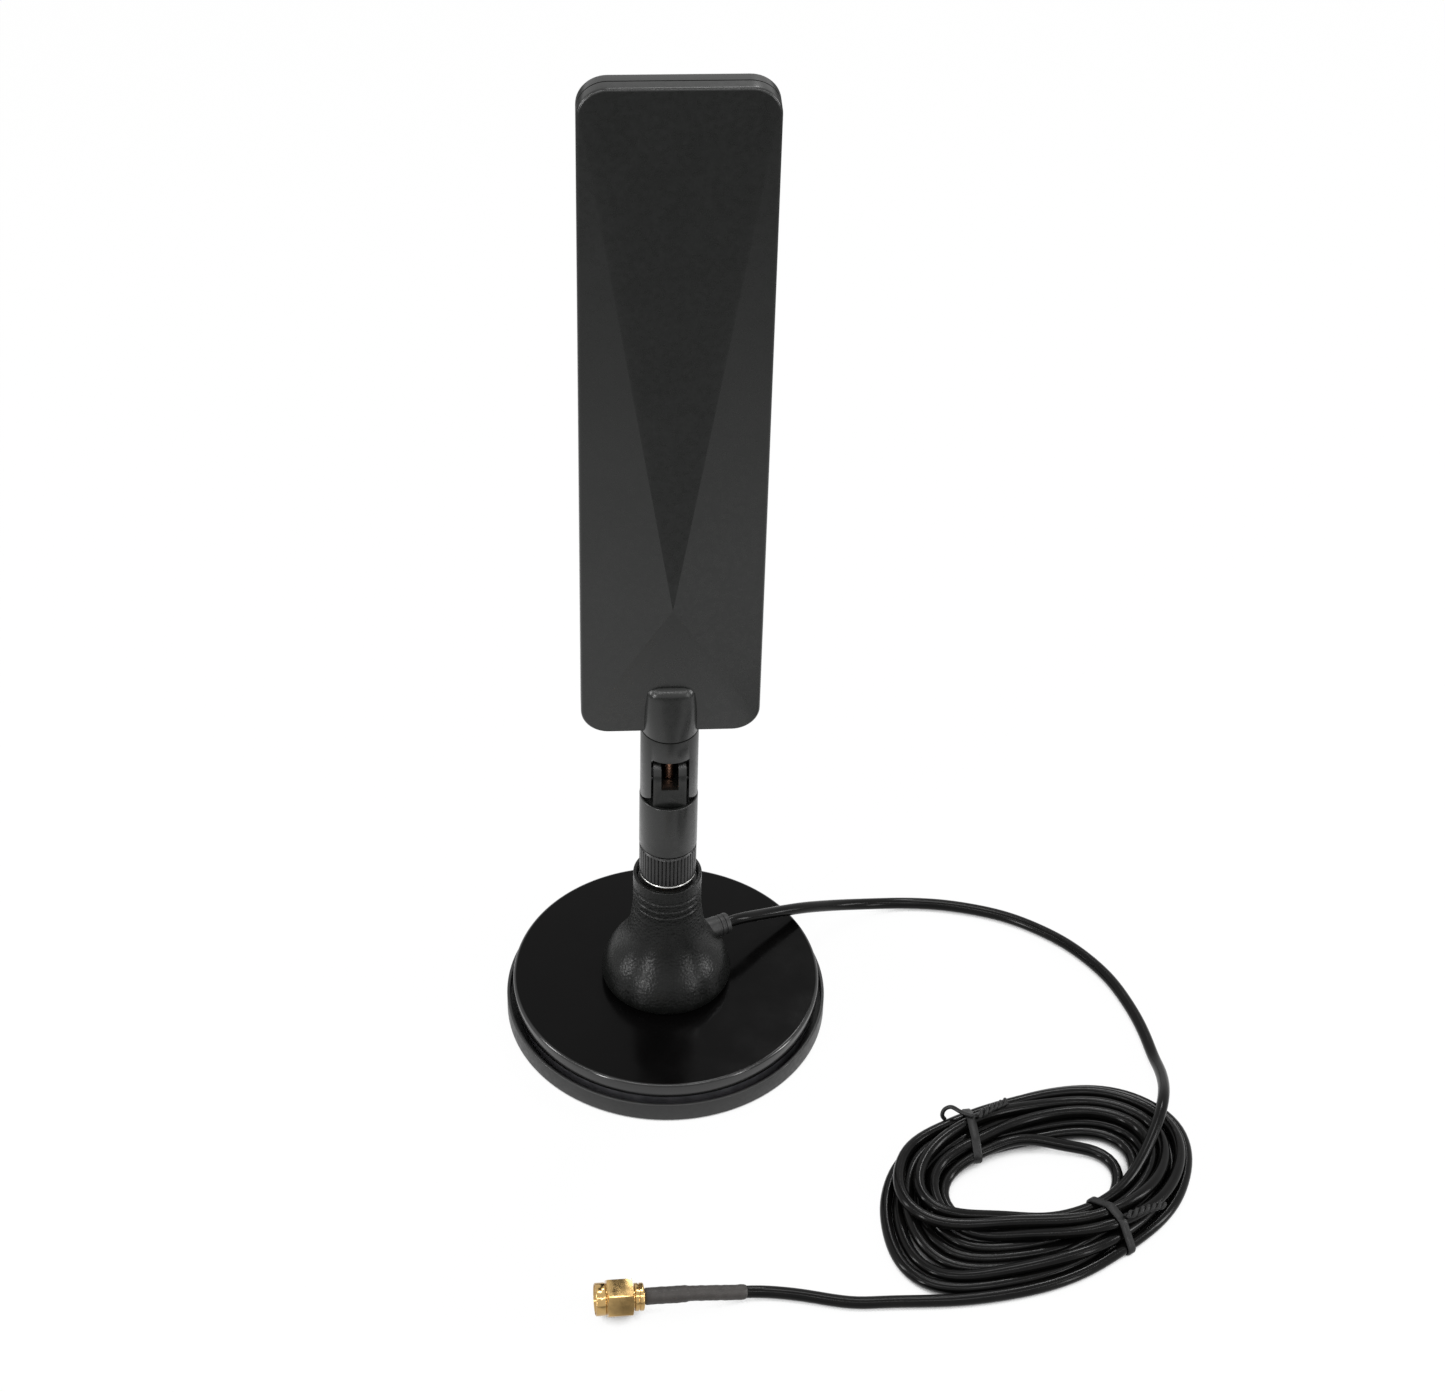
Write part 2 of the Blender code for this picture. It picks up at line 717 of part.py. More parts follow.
def make_connector(metal, plastic, gold):
    ring_low = RING_MIDDLE - RING_GROOVE / 2
    ring_high = RING_MIDDLE + RING_GROOVE / 2
    contact_ring = JACK_BORE - RUNNING_GAP
    bore = INSULATOR_RADIUS - RUNNING_GAP
    shoulder = JACK_TOP + SEAT_GAP
    groove = NECK_WALL - 0.0005
    low = INTERFACE
    outline = [
        (bore, low),
        (contact_ring, low),
        (contact_ring, shoulder),
        (NECK_WALL, shoulder),
        (NECK_WALL, ring_low),
        (groove, ring_low),
        (groove, ring_high),
        (NECK_WALL, ring_high),
        (NECK_WALL, HEAD_BOTTOM),
        (HEAD_RADIUS, HEAD_BOTTOM),
        (HEAD_RADIUS, HEAD_TOP),
        (bore, HEAD_TOP),
    ]
    body = turned("connector_body", outline, metal, SMALL_SIDES)
    insulator_radius = bore - RUNNING_GAP
    pin_bore = PIN_RADIUS + RUNNING_GAP
    insulator_top = HEAD_TOP - HEAD_HEIGHT / 2
    insulator = turned(
        "connector_insulator",
        [
            (pin_bore, low),
            (insulator_radius, low),
            (insulator_radius, insulator_top),
            (pin_bore, insulator_top),
        ],
        plastic,
        TINY_SIDES,
    )
    tip = INTERFACE - PIN_REACH
    pin = turned(
        "connector_pin",
        [
            (0.0, tip),
            (PIN_RADIUS * 0.5, tip),
            (PIN_RADIUS, tip + PIN_RADIUS),
            (PIN_RADIUS, HEAD_TOP - SEAT_GAP),
            (0.0, HEAD_TOP - SEAT_GAP),
        ],
        gold,
        12,
    )
    ring = snap_ring("connector_ring", groove + RUNNING_GAP, NECK_WALL + RING_REACH,
                     RING_MIDDLE, metal)
    return body, insulator, pin, ring


def snap_ring(name, inner, outer, middle, finish):
    """A split ring about Z."""
    low = middle - RING_THICKNESS / 2
    high = middle + RING_THICKNESS / 2
    ring = turned(name, [(inner, low), (outer, low), (outer, high), (inner, high)], finish,
                  SMALL_SIDES)
    half = RING_SLIT / 2
    slit = prism(f"{name}_slit", [(0.0, -half), (outer * 2, -half), (outer * 2, half), (0.0, half)],
                 low - OVERCUT, high + OVERCUT, "Z", finish)
    cut(ring, slit)
    return ring


def ribbed_outline(radius, depth, count):
    """A round outline with count ribs standing proud by depth."""
    points = []
    pitch = 2 * math.pi / count
    for rib in range(count):
        for share, reach in ((0.0, radius - depth), (0.28, radius), (0.72, radius)):
            turn = pitch * (rib + share)
            points.append((reach * math.cos(turn), reach * math.sin(turn)))
    return points


def make_coupling_nut(metal):
    low = NUT_BOTTOM + NUT_RIM
    nut = prism("coupling_nut", ribbed_outline(NUT_RADIUS, RIB_DEPTH, NUT_RIBS), low, NUT_TOP,
                "Z", metal)
    rim = NUT_RADIUS - RIB_DEPTH
    add(nut, turned("nut_rim", [(0.0, NUT_BOTTOM), (rim - 0.0004, NUT_BOTTOM),
                                (rim, NUT_BOTTOM + 0.0004), (rim, low + NUT_RIM),
                                (0.0, low + NUT_RIM)], metal))
    ring_low = RING_MIDDLE - RING_GROOVE / 2
    ring_high = RING_MIDDLE + RING_GROOVE / 2
    groove = NECK_WALL + RING_REACH + RUNNING_GAP
    lip = NECK_WALL + RUNNING_GAP
    thread_start = JACK_TOP - THREAD_TRAVEL
    bore = [
        (0.0, NUT_BOTTOM - OVERCUT),
        (NUT_BORE + RUNNING_GAP, NUT_BOTTOM - OVERCUT),
        (NUT_BORE + RUNNING_GAP, thread_start),
        (NUT_BORE, thread_start + RUNNING_GAP),
        (NUT_BORE, ring_low - RING_GROOVE),
        (lip, ring_low - RING_GROOVE),
        (lip, ring_low),
        (groove, ring_low),
        (groove, ring_high),
        (lip, ring_high),
        (lip, NUT_TOP + OVERCUT),
        (0.0, NUT_TOP + OVERCUT),
    ]
    cut(nut, turned("nut_bore", bore, metal, SMALL_SIDES))
    return nut


# Hinge


def make_lower_knuckle(shell):
    rim = LOWER_BARREL_RADIUS - RIM_WIDTH
    dish = BARREL_TOP - RIM_DISH
    outline = [(0.0, BARREL_BOTTOM)]
    outline += arc(LOWER_BARREL_RADIUS - BARREL_EDGE, BARREL_BOTTOM + BARREL_EDGE, BARREL_EDGE,
                   -90, 0, 2)
    outline += [
        (LOWER_BARREL_RADIUS, BARREL_TOP - BARREL_EDGE / 2),
        (LOWER_BARREL_RADIUS - BARREL_EDGE / 2, BARREL_TOP),
        (rim, BARREL_TOP),
        (rim - RIM_WIDTH / 2, dish),
        (0.0, dish),
    ]
    knuckle = turned("lower_knuckle", outline, shell)
    tongue_base = dish - BARREL_EDGE
    prong = [(-TONGUE_RADIUS, tongue_base), (TONGUE_RADIUS, tongue_base)]
    prong += arc(0.0, PIVOT.z, TONGUE_RADIUS, 0, 180, 16)
    add(knuckle, prism("tongue", prong, -TONGUE_HALF_WIDTH, TONGUE_HALF_WIDTH, "X", shell))
    wide = TONGUE_HALF_WIDTH + TONGUE_FLARE
    flare = [
        (-wide, tongue_base),
        (wide, tongue_base),
        (wide, dish + TONGUE_FLARE * 0.2),
        (TONGUE_HALF_WIDTH + TONGUE_FLARE * 0.3, dish + TONGUE_FLARE * 0.7),
        (TONGUE_HALF_WIDTH - OVERCUT, dish + TONGUE_FLARE * 1.6),
        (OVERCUT - TONGUE_HALF_WIDTH, dish + TONGUE_FLARE * 1.6),
        (-TONGUE_HALF_WIDTH - TONGUE_FLARE * 0.3, dish + TONGUE_FLARE * 0.7),
        (-wide, dish + TONGUE_FLARE * 0.2),
    ]
    depth = TONGUE_RADIUS * 0.7
    add(knuckle, prism("tongue_foot", flare, -depth, depth, "Y", shell))
    add(knuckle, rod_along("pivot_studs", PIVOT - Vector((STUD_REACH, 0, 0)),
                           PIVOT + Vector((STUD_REACH, 0, 0)), STUD_RADIUS, shell))
    slot_floor = PIVOT.z - PRONG_SLOT_DROP
    slot_top = PIVOT.z + TONGUE_RADIUS + OVERCUT
    deep = TONGUE_RADIUS + OVERCUT
    slot = [(-deep, slot_floor), (deep, slot_floor), (deep, slot_top), (-deep, slot_top)]
    cut(knuckle, prism("prong_slot", slot, -PRONG_SLOT_HALF, PRONG_SLOT_HALF, "X", shell))
    head = [
        (0.0, BARREL_BOTTOM - OVERCUT),
        (NECK_WALL + SEAT_GAP, BARREL_BOTTOM - OVERCUT),
        (NECK_WALL + SEAT_GAP, HEAD_BOTTOM - RUNNING_GAP),
        (HEAD_RADIUS + SEAT_GAP, HEAD_BOTTOM - RUNNING_GAP),
        (HEAD_RADIUS + SEAT_GAP, HEAD_TOP + SEAT_GAP),
        (COAX_BORE, HEAD_TOP + SEAT_GAP),
        (COAX_BORE, slot_floor + OVERCUT),
        (0.0, slot_floor + OVERCUT),
    ]
    cut(knuckle, turned("head_cavity", head, shell, SMALL_SIDES))
    return knuckle


def make_upper_knuckle(shell):
    low = PIVOT.z - EAR_RADIUS
    outline = [
        (0.0, low - BARREL_EDGE),
        (UPPER_BARREL_RADIUS, low - BARREL_EDGE),
        (UPPER_BARREL_RADIUS, UPPER_BARREL_TOP),
        (SPIGOT_RADIUS, UPPER_BARREL_TOP),
        (SPIGOT_RADIUS, UPPER_BARREL_TOP + SPIGOT_LENGTH),
        (0.0, UPPER_BARREL_TOP + SPIGOT_LENGTH),
    ]
    knuckle = turned("upper_knuckle", outline, shell)
    wide = UPPER_BARREL_RADIUS + OVERCUT
    below = [(-wide, PIVOT.z)]
    below += arc(0.0, PIVOT.z, EAR_RADIUS, 180, 360, 20)
    below += [(wide, PIVOT.z), (wide, low - OVERCUT), (-wide, low - OVERCUT)]
    cut(knuckle, prism("ear_round", below, -wide, wide, "X", shell))
    top = PIVOT.z + WINDOW_TOP
    window = [(-wide, low - OVERCUT), (BACK_WALL_START, low - OVERCUT), (BACK_WALL_START, top),
              (-wide, top)]
    cut(knuckle, prism("window", window, -WINDOW_HALF_WIDTH, WINDOW_HALF_WIDTH, "X", shell))
    reach = STUD_REACH + SEAT_GAP
    cut(knuckle, rod_along("stud_holes", PIVOT - Vector((reach, 0, 0)),
                           PIVOT + Vector((reach, 0, 0)), STUD_RADIUS + RUNNING_GAP, shell))
    cut(knuckle, rod_along("coax_hole", (0, 0, top - OVERCUT),
                           (0, 0, UPPER_BARREL_TOP + SPIGOT_LENGTH + OVERCUT), COAX_BORE, shell))
    return knuckle


def make_coax(name, low, high, braid, round_top):
    """A stretch of braided coax on the axis. One end is round, at the hinge."""
    dome = arc(0.0, high - COAX_RADIUS, COAX_RADIUS, 0, 90, 4)
    outline = [(0.0, low), (COAX_RADIUS, low), *dome[:-1], (0.0, high)]
    if not round_top:
        outline = [(radius, low + high - height) for radius, height in reversed(outline)]
    return turned(name, outline, braid, TINY_SIDES)


# Blade


def blade_rings(side, wall, rise):
    """Loops of one half of the blade, from the parting plane to the face, and its tip."""
    half = BLADE_THICKNESS / 2
    rings = []
    steps = [(0.0, SEAT_GAP / 2 if wall == 0 else -OVERCUT)]
    edge = BLADE_EDGE if wall == 0 else BLADE_EDGE / 2
    steps += [
        (edge - radius, half - wall - edge + height)
        for radius, height in arc(0.0, 0.0, edge, 0, 90, 3)
    ]
    for inset, depth in steps:
        inset += wall
        outline = rounded_rectangle(BLADE_HALF_WIDTH - inset, BLADE_BOTTOM + inset,
                                    BLADE_TOP - inset, BLADE_CORNER - inset)
        rings.append([(x, side * depth, z) for x, z in outline])
    tip = (0.0, side * (half - wall + rise), APEX_HEIGHT) if rise else None
    return rings, tip


def wall_depth(lift, rise):
    """How deep a post reaches, half way into the wall, at a height above the blade's foot."""
    span = APEX_ABOVE_FOOT if lift < APEX_ABOVE_FOOT else BLADE_LENGTH - APEX_ABOVE_FOOT
    raised = rise * (1 - abs(lift - APEX_ABOVE_FOOT) / span)
    return BLADE_THICKNESS / 2 - BLADE_WALL / 2 + raised


def boss_outline():
    top = BOSS_BOTTOM + BOSS_HEIGHT
    crown = arc(BOSS_TOP_RADIUS - BOSS_ROUND, top - BOSS_ROUND, BOSS_ROUND, 8, 90, 4)
    return [(0.0, BOSS_BOTTOM), (BOSS_RADIUS, BOSS_BOTTOM), *crown, (0.0, top)]


def make_shell(name, side, rise, plastic):
    """Half of the blade: side is -1 for the front and 1 for the back."""
    rings, tip = blade_rings(side, 0.0, rise)
    shell = lofted(name, rings, plastic, tip)
    boss = turned(f"{name}_boss", boss_outline(), plastic)
    add(shell, boss)
    far = BLADE_HALF_WIDTH * 2
    beyond = [(-side * far, 0.0), (side * SEAT_GAP / 2, 0.0),
              (side * SEAT_GAP / 2, BLADE_TOP * 2), (-side * far, BLADE_TOP * 2)]
    cut(shell, prism(f"{name}_parting", beyond, -far, far, "X", plastic))
    inner_rings, inner_tip = blade_rings(side, BLADE_WALL, rise)
    cut(shell, lofted(f"{name}_hollow", inner_rings, plastic, inner_tip))
    spigot_hole = SPIGOT_RADIUS + RUNNING_GAP
    cut(shell, rod_along(f"{name}_spigot_hole", (0, 0, BOSS_BOTTOM - OVERCUT),
                         (0, 0, UPPER_BARREL_TOP + SPIGOT_LENGTH + SEAT_GAP), spigot_hole,
                         plastic))
    cut(shell, rod_along(f"{name}_coax_way", (0, 0, BOSS_BOTTOM),
                         (0, 0, BOSS_BOTTOM + BOSS_HEIGHT + OVERCUT), COAX_BORE, plastic))
    board_face = BOARD_THICKNESS / 2 + SEAT_GAP
    for number, lift in enumerate(BOARD_POST_HEIGHTS, 1):
        height = BLADE_BOTTOM + lift
        deep = wall_depth(lift, rise)
        add(shell, rod_along(f"{name}_post_{number}", (0, side * board_face, height),
                             (0, side * deep, height), BOARD_POST_RADIUS, plastic,
                             TINY_SIDES))
    return shell


def make_board(laminate):
    half = BOARD_THICKNESS / 2
    low = BLADE_BOTTOM + BOARD_START
    outline = rounded_rectangle(BOARD_HALF_WIDTH, low, low + BOARD_LENGTH, 0.0015, 2)
    return prism("antenna_board", outline, -half, half, "Y", laminate)


# Lead's plug, modelled along Z from its mouth and then laid down


def plug_matrix():
    heading = Vector((math.cos(PLUG_HEADING) * math.cos(PLUG_TILT),
                      math.sin(PLUG_HEADING) * math.cos(PLUG_TILT),
                      -math.sin(PLUG_TILT)))
    turn = Vector((0, 0, 1)).rotation_difference(heading).to_matrix().to_4x4()
    height = PLUG_NUT_ACROSS / math.sqrt(3) + PLUG_NUT_LENGTH * math.sin(PLUG_TILT)
    mouth = PLUG_MOUTH.to_3d() + Vector((0, 0, height + FLOOR_CLEARANCE))
    return Matrix.Translation(mouth) @ turn @ Matrix.Rotation(PLUG_ROLL, 4, "Z")


def plug_point(distance):
    """The point on the plug's axis at a distance from its mouth."""
    return plug_matrix() @ Vector((0.0, 0.0, distance))


def lay_down(frame, *pieces):
    for piece in pieces:
        piece.parent = frame


def make_plug(frame, gold, plastic):
    nut = prism("plug_nut", hexagon(PLUG_NUT_ACROSS), 0.0, PLUG_NUT_LENGTH, "Z", gold)
    corner = PLUG_NUT_ACROSS / math.sqrt(3)
    chamfer = 0.0005
    limit = [
        (0.0, 0.0),
        (PLUG_RING_RADIUS - chamfer / 2, 0.0),
        (PLUG_RING_RADIUS, chamfer / 2),
        (PLUG_RING_RADIUS, PLUG_RING_LENGTH),
        (corner - chamfer * 1.2, PLUG_RING_LENGTH),
        (corner + OVERCUT, PLUG_RING_LENGTH + (OVERCUT + chamfer * 1.2) * 0.5),
        (corner + OVERCUT, PLUG_NUT_LENGTH - (OVERCUT + chamfer * 1.2) * 0.5),
        (corner - chamfer * 1.2, PLUG_NUT_LENGTH),
        (0.0, PLUG_NUT_LENGTH),
    ]
    tools = [turned("plug_nut_limit", limit, gold)]
    keep_inside(nut, tools[0])
    ring_middle = PLUG_NUT_LENGTH - RING_GROOVE
    ring_low = ring_middle - RING_GROOVE / 2
    ring_high = ring_middle + RING_GROOVE / 2
    body_radius = JACK_BORE
    lip = body_radius + RUNNING_GAP
    groove_wall = body_radius + RING_REACH + RUNNING_GAP
    bore = [
        (0.0, -OVERCUT),
        (NUT_BORE, -OVERCUT),
        (NUT_BORE, ring_low - RING_GROOVE),
        (lip, ring_low - RING_GROOVE),
        (lip, ring_low),
        (groove_wall, ring_low),
        (groove_wall, ring_high),
        (lip, ring_high),
        (lip, PLUG_NUT_LENGTH + OVERCUT),
        (0.0, PLUG_NUT_LENGTH + OVERCUT),
    ]
    tools.append(turned("plug_nut_bore", bore, gold, SMALL_SIDES))
    cut(nut, tools[1])
    face = PIN_REACH + 2 * SEAT_GAP
    collar = PLUG_NUT_LENGTH + SEAT_GAP
    groove_floor = body_radius - 0.0005
    core = INSULATOR_RADIUS
    back = ring_low - RING_GROOVE
    body = turned(
        "plug_body",
        [
            (core, face),
            (body_radius - RUNNING_GAP, face),
            (body_radius - RUNNING_GAP, ring_low),
            (groove_floor, ring_low),
            (groove_floor, ring_high),
            (body_radius, ring_high),
            (body_radius, collar),
            (PLUG_COLLAR_RADIUS, collar),
            (PLUG_COLLAR_RADIUS, collar + PLUG_COLLAR_LENGTH * 0.8),
            (PLUG_COLLAR_RADIUS * 0.93, collar + PLUG_COLLAR_LENGTH),
            (FERRULE_RADIUS, collar + PLUG_COLLAR_LENGTH),
            (FERRULE_RADIUS, FERRULE_END),
            (PIN_RADIUS * 2, FERRULE_END),
            (PIN_RADIUS * 2, back),
            (core, back),
        ],
        gold,
        SMALL_SIDES,
    )
    insulator_radius = core - RUNNING_GAP
    pin_bore = PIN_RADIUS + RUNNING_GAP
    insulator = turned(
        "plug_insulator",
        [
            (pin_bore, face),
            (insulator_radius, face),
            (insulator_radius, back - SEAT_GAP),
            (pin_bore, back - SEAT_GAP),
        ],
        plastic,
        TINY_SIDES,
    )
    tip = face - PIN_REACH
    pin = turned(
        "plug_pin",
        [
            (0.0, tip),
            (PIN_RADIUS * 0.5, tip),
            (PIN_RADIUS, tip + PIN_RADIUS),
            (PIN_RADIUS, collar + PLUG_COLLAR_LENGTH),
            (0.0, collar + PLUG_COLLAR_LENGTH),
        ],
        gold,
        12,
    )
    ring = snap_ring("plug_ring", groove_floor + RUNNING_GAP, body_radius + RING_REACH,
                     ring_middle, gold)
    ring_slit = bpy.data.objects["plug_ring_slit"]
    lay_down(frame, nut, body, insulator, pin, ring, ring_slit, *tools)
    return nut, body, insulator, pin, ring


def make_sleeve(shrink, frame):
    straight = [plug_point(SLEEVE_START), plug_point((SLEEVE_START + FERRULE_END) / 2),
                plug_point(FERRULE_END)]
    path = smooth_points([*straight, *SLEEVE_ROUTE], 0.0020)
    step_at = FERRULE_LENGTH
    radii = []
    gone = 0.0
    for here, there in zip([path[0], *path], path):
        gone += (there - here).length
        radii.append(SLEEVE_RADIUS if gone < step_at else SLEEVE_THIN_RADIUS)
    sleeve = swept("plug_sleeve", path, radii, shrink, TINY_SIDES)
    bore = turned(
        "sleeve_bore",
        [
            (0.0, SLEEVE_START - OVERCUT),
            (FERRULE_RADIUS + RUNNING_GAP, SLEEVE_START - OVERCUT),
            (FERRULE_RADIUS + RUNNING_GAP, FERRULE_END + SEAT_GAP),
            (0.0, FERRULE_END + SEAT_GAP),
        ],
        shrink,
        TINY_SIDES,
    )
    lay_down(frame, bore)
    cut(sleeve, bore)
    return sleeve


# Coil of the lead and its ties


def oval_reach(turn, half_length, half_width, slant):
    """How far an oval reaches from its middle at an angle."""
    ray = turn - slant
    return 1 / math.hypot(math.cos(ray) / half_length, math.sin(ray) / half_width)


def coil_section(turn, outward, corners=8):
    """Points round the coil's bundle at one angle about its middle, grown outward."""
    reach = oval_reach(turn, COIL_HALF_LENGTH, COIL_HALF_WIDTH, COIL_ANGLE)
    hole = oval_reach(turn, HOLE_HALF_LENGTH, HOLE_HALF_WIDTH, HOLE_ANGLE)
    middle = (reach + hole) / 2
    half_width = (reach - hole) / 2 + outward
    half_height = (COIL_TOP - COIL_BOTTOM) / 2 + outward
    centre_height = (COIL_TOP + COIL_BOTTOM) / 2
    along = Vector((math.cos(turn), math.sin(turn), 0.0))
    base = Vector((COIL_MIDDLE.x, COIL_MIDDLE.y, centre_height)) + along * middle
    points = []
    for corner in range(corners):
        angle = 2 * math.pi * corner / corners
        round_x = math.copysign(abs(math.cos(angle)) ** 0.7, math.cos(angle))
        round_z = math.copysign(abs(math.sin(angle)) ** 0.7, math.sin(angle))
        points.append(base + along * half_width * round_x + Vector((0, 0, half_height * round_z)))
    return points


def make_coil(jacket, steps=36):
    bm = bmesh.new()
    loops = [
        [bm.verts.new(point) for point in coil_section(2 * math.pi * i / steps, 0.0)]
        for i in range(steps)
    ]
    for lower, upper in zip(loops, loops[1:] + loops[:1]):
        for i in range(len(lower)):
            j = (i + 1) % len(lower)
            bm.faces.new((lower[i], lower[j], upper[j], upper[i]))
    return object_from("cable_coil", bm, jacket, 60.0)


def make_tie(name, turn, plastic):
    """A flat band round the coil's bundle."""
    half_turn = TIE_WIDTH / (COIL_HALF_LENGTH + HOLE_HALF_LENGTH)
    bm = bmesh.new()
    loops = [
        [bm.verts.new(point) for point in coil_section(turn + shift, outward)]
        for shift, outward in (
            (-half_turn, SEAT_GAP),
            (-half_turn, SEAT_GAP + TIE_THICKNESS),
            (half_turn, SEAT_GAP + TIE_THICKNESS),
            (half_turn, SEAT_GAP),
        )
    ]
    for lower, upper in zip(loops, loops[1:] + loops[:1]):
        for i in range(len(lower)):
            j = (i + 1) % len(lower)
            bm.faces.new((lower[i], lower[j], upper[j], upper[i]))
    return object_from(name, bm, plastic, 50.0)


def make_inner_lead(jacket):
    start = Vector((0, 0, JACK_BOTTOM - SEAT_GAP))
    inside, outside = gland_ends()
    drop = start.z - GLAND_HEIGHT
    bend = [
        GLAND_MIDDLE + GLAND_DIRECTION * drop * along + Vector((0, 0, drop * up))
        for along, up in ((0.06, 0.58), (0.28, 0.22), (0.65, 0.04))
    ]
    end = outside - GLAND_DIRECTION * (CABLE_RADIUS + SEAT_GAP)
    return cable("inner_lead", smooth_points([start, *bend, inside, end], 0.0016), jacket)


def make_leads(jacket):
    outside = gland_ends()[1]
    start = outside - GLAND_DIRECTION * CABLE_RADIUS
    straight = outside + GLAND_DIRECTION * 2 * CABLE_RADIUS
    lead = cable("cable_lead", smooth_points([start, straight, *LEAD_ROUTE], 0.0048), jacket)
    tail = cable("cable_tail", smooth_points(TAIL_ROUTE, 0.0048), jacket)
    return lead, tail


def main():
    for old in list(bpy.data.objects):
        bpy.data.objects.remove(old, do_unlink=True)

    rubber = material("satin_rubber", (0.020, 0.020, 0.021), 0.55)
    lacquer = material("gloss_lacquer", (0.006, 0.006, 0.007), 0.12)
    plastic = material("satin_plastic", (0.022, 0.023, 0.023), 0.45)
    bell_finish = material("sparkle_paint", (0.022, 0.024, 0.023), 0.40)
    black_metal = material("black_metal", (0.025, 0.025, 0.026), 0.35, 0.6)
    ferrite = material("ferrite", (0.05, 0.05, 0.055), 0.6)
    steel = material("zinc_steel", (0.60, 0.60, 0.58), 0.35, 1.0)
    gold = material("gold_plate", (0.90, 0.62, 0.22), 0.22, 1.0)
    white = material("white_dielectric", (0.85, 0.85, 0.83), 0.5)
    braid = material("copper_braid", (0.55, 0.28, 0.18), 0.4, 1.0)
    laminate = material("board_laminate", (0.05, 0.20, 0.09), 0.5)
    jacket = material("cable_jacket", (0.012, 0.012, 0.012), 0.25)
    shrink = material("shrink_sleeve", (0.045, 0.045, 0.046), 0.75)
    tie_plastic = material("tie_plastic", (0.018, 0.018, 0.018), 0.5)

    make_boot(rubber)
    make_magnet(ferrite)
    make_cover(lacquer)
    for number, place in enumerate(screw_places(), 1):
        make_base_screw(number, place, steel)
    make_bell(bell_finish)
    make_gland(rubber)
    make_jack(gold)
    make_jack_nut(gold)
    make_jack_core(white, gold)
    make_inner_lead(jacket)

    connector = joint_empty("connector_slide", Vector((0, 0, INTERFACE)))
    carry(connector, *make_connector(black_metal, white, gold))
    nut_turn = joint_empty("nut_turn", Vector((0, 0, NUT_BOTTOM)))
    carry(nut_turn, make_coupling_nut(black_metal))
    swivel = joint_empty("swivel", Vector((0, 0, BARREL_BOTTOM)))
    coax_start = HEAD_TOP + SEAT_GAP
    carry(
        swivel,
        make_lower_knuckle(plastic),
        make_coax("feed_coax_lower", coax_start, PIVOT.z - COAX_GAP_AT_PIVOT, braid, True),
    )
    hinge = joint_empty("hinge", PIVOT)
    coax_end = BLADE_BOTTOM + BOARD_START - SEAT_GAP
    carry(
        hinge,
        make_upper_knuckle(plastic),
        make_coax("feed_coax_upper", PIVOT.z + COAX_GAP_AT_PIVOT, coax_end, braid, False),
        make_shell("front_shell", -1, APEX_RISE, plastic),
        make_shell("back_shell", 1, 0.0, plastic),
        make_board(laminate),
    )

    plug_frame = joint_empty("plug_frame", Vector((0, 0, 0)))
    plug_frame.matrix_world = plug_matrix()
    make_plug(plug_frame, gold, white)
    make_sleeve(shrink, plug_frame)
    make_leads(jacket)
    make_coil(jacket)
    for name, turn in zip(("tie_upper", "tie_lower"), TIE_ANGLES):
        make_tie(name, turn, tie_plastic)


main()
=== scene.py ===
import json
import math

import bmesh
import bpy
import numpy as np
from mathutils import Matrix, Vector


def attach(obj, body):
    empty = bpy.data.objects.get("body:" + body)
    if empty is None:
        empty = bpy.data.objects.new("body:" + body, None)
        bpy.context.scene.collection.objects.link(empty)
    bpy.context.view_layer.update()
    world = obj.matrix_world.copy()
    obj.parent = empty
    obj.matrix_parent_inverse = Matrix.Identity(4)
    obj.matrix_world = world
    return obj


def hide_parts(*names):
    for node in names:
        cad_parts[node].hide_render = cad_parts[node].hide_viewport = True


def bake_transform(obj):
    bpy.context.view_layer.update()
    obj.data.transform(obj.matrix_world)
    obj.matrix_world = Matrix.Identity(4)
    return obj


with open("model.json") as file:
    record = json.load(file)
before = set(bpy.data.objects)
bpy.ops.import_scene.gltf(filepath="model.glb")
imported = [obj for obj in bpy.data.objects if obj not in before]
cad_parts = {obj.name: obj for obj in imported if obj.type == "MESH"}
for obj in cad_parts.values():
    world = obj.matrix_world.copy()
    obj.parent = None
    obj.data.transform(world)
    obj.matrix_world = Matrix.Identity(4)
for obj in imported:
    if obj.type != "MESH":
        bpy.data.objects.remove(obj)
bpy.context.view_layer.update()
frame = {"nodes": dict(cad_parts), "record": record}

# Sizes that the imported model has, in metres
BOOT_RADIUS, BOOT_HEIGHT, BOOT_FLOOR, BASE_INNER = 0.0384, 0.0057, 0.0012, 0.0360
COVER_RADIUS, SKIRT_BOTTOM, COVER_UNDERSIDE, COVER_TOP = 0.0372, 0.0066, 0.0091, 0.0103
BELL_BOTTOM, BELL_RADIUS, BELL_FOOT_ROUND, NECK_TOP = 0.0106, 0.0155, 0.0021, 0.0444
NECK_RADIUS, SOCKET_RADIUS, SOCKET_FLOOR, LEDGE = 0.00805, 0.0071, 0.0410, 0.0294
POST_CIRCLE, GLAND_ANGLE, GLAND_HEIGHT = 0.0090, math.radians(24), 0.0200
THREAD_RADIUS, THREAD_PITCH, JACK_TOP, FLANGE_TOP = 0.003175, 0.0007056, 0.0501, 0.0423
NUT_RADIUS, NUT_BOTTOM, NUT_TOP, NUT_RIBS = 0.00666, 0.0446, 0.0540, 45
BARREL_BOTTOM, BARREL_TOP, LOWER_RADIUS = 0.0543, 0.0697, 0.00672
PIVOT = Vector((0, 0, 0.0767))
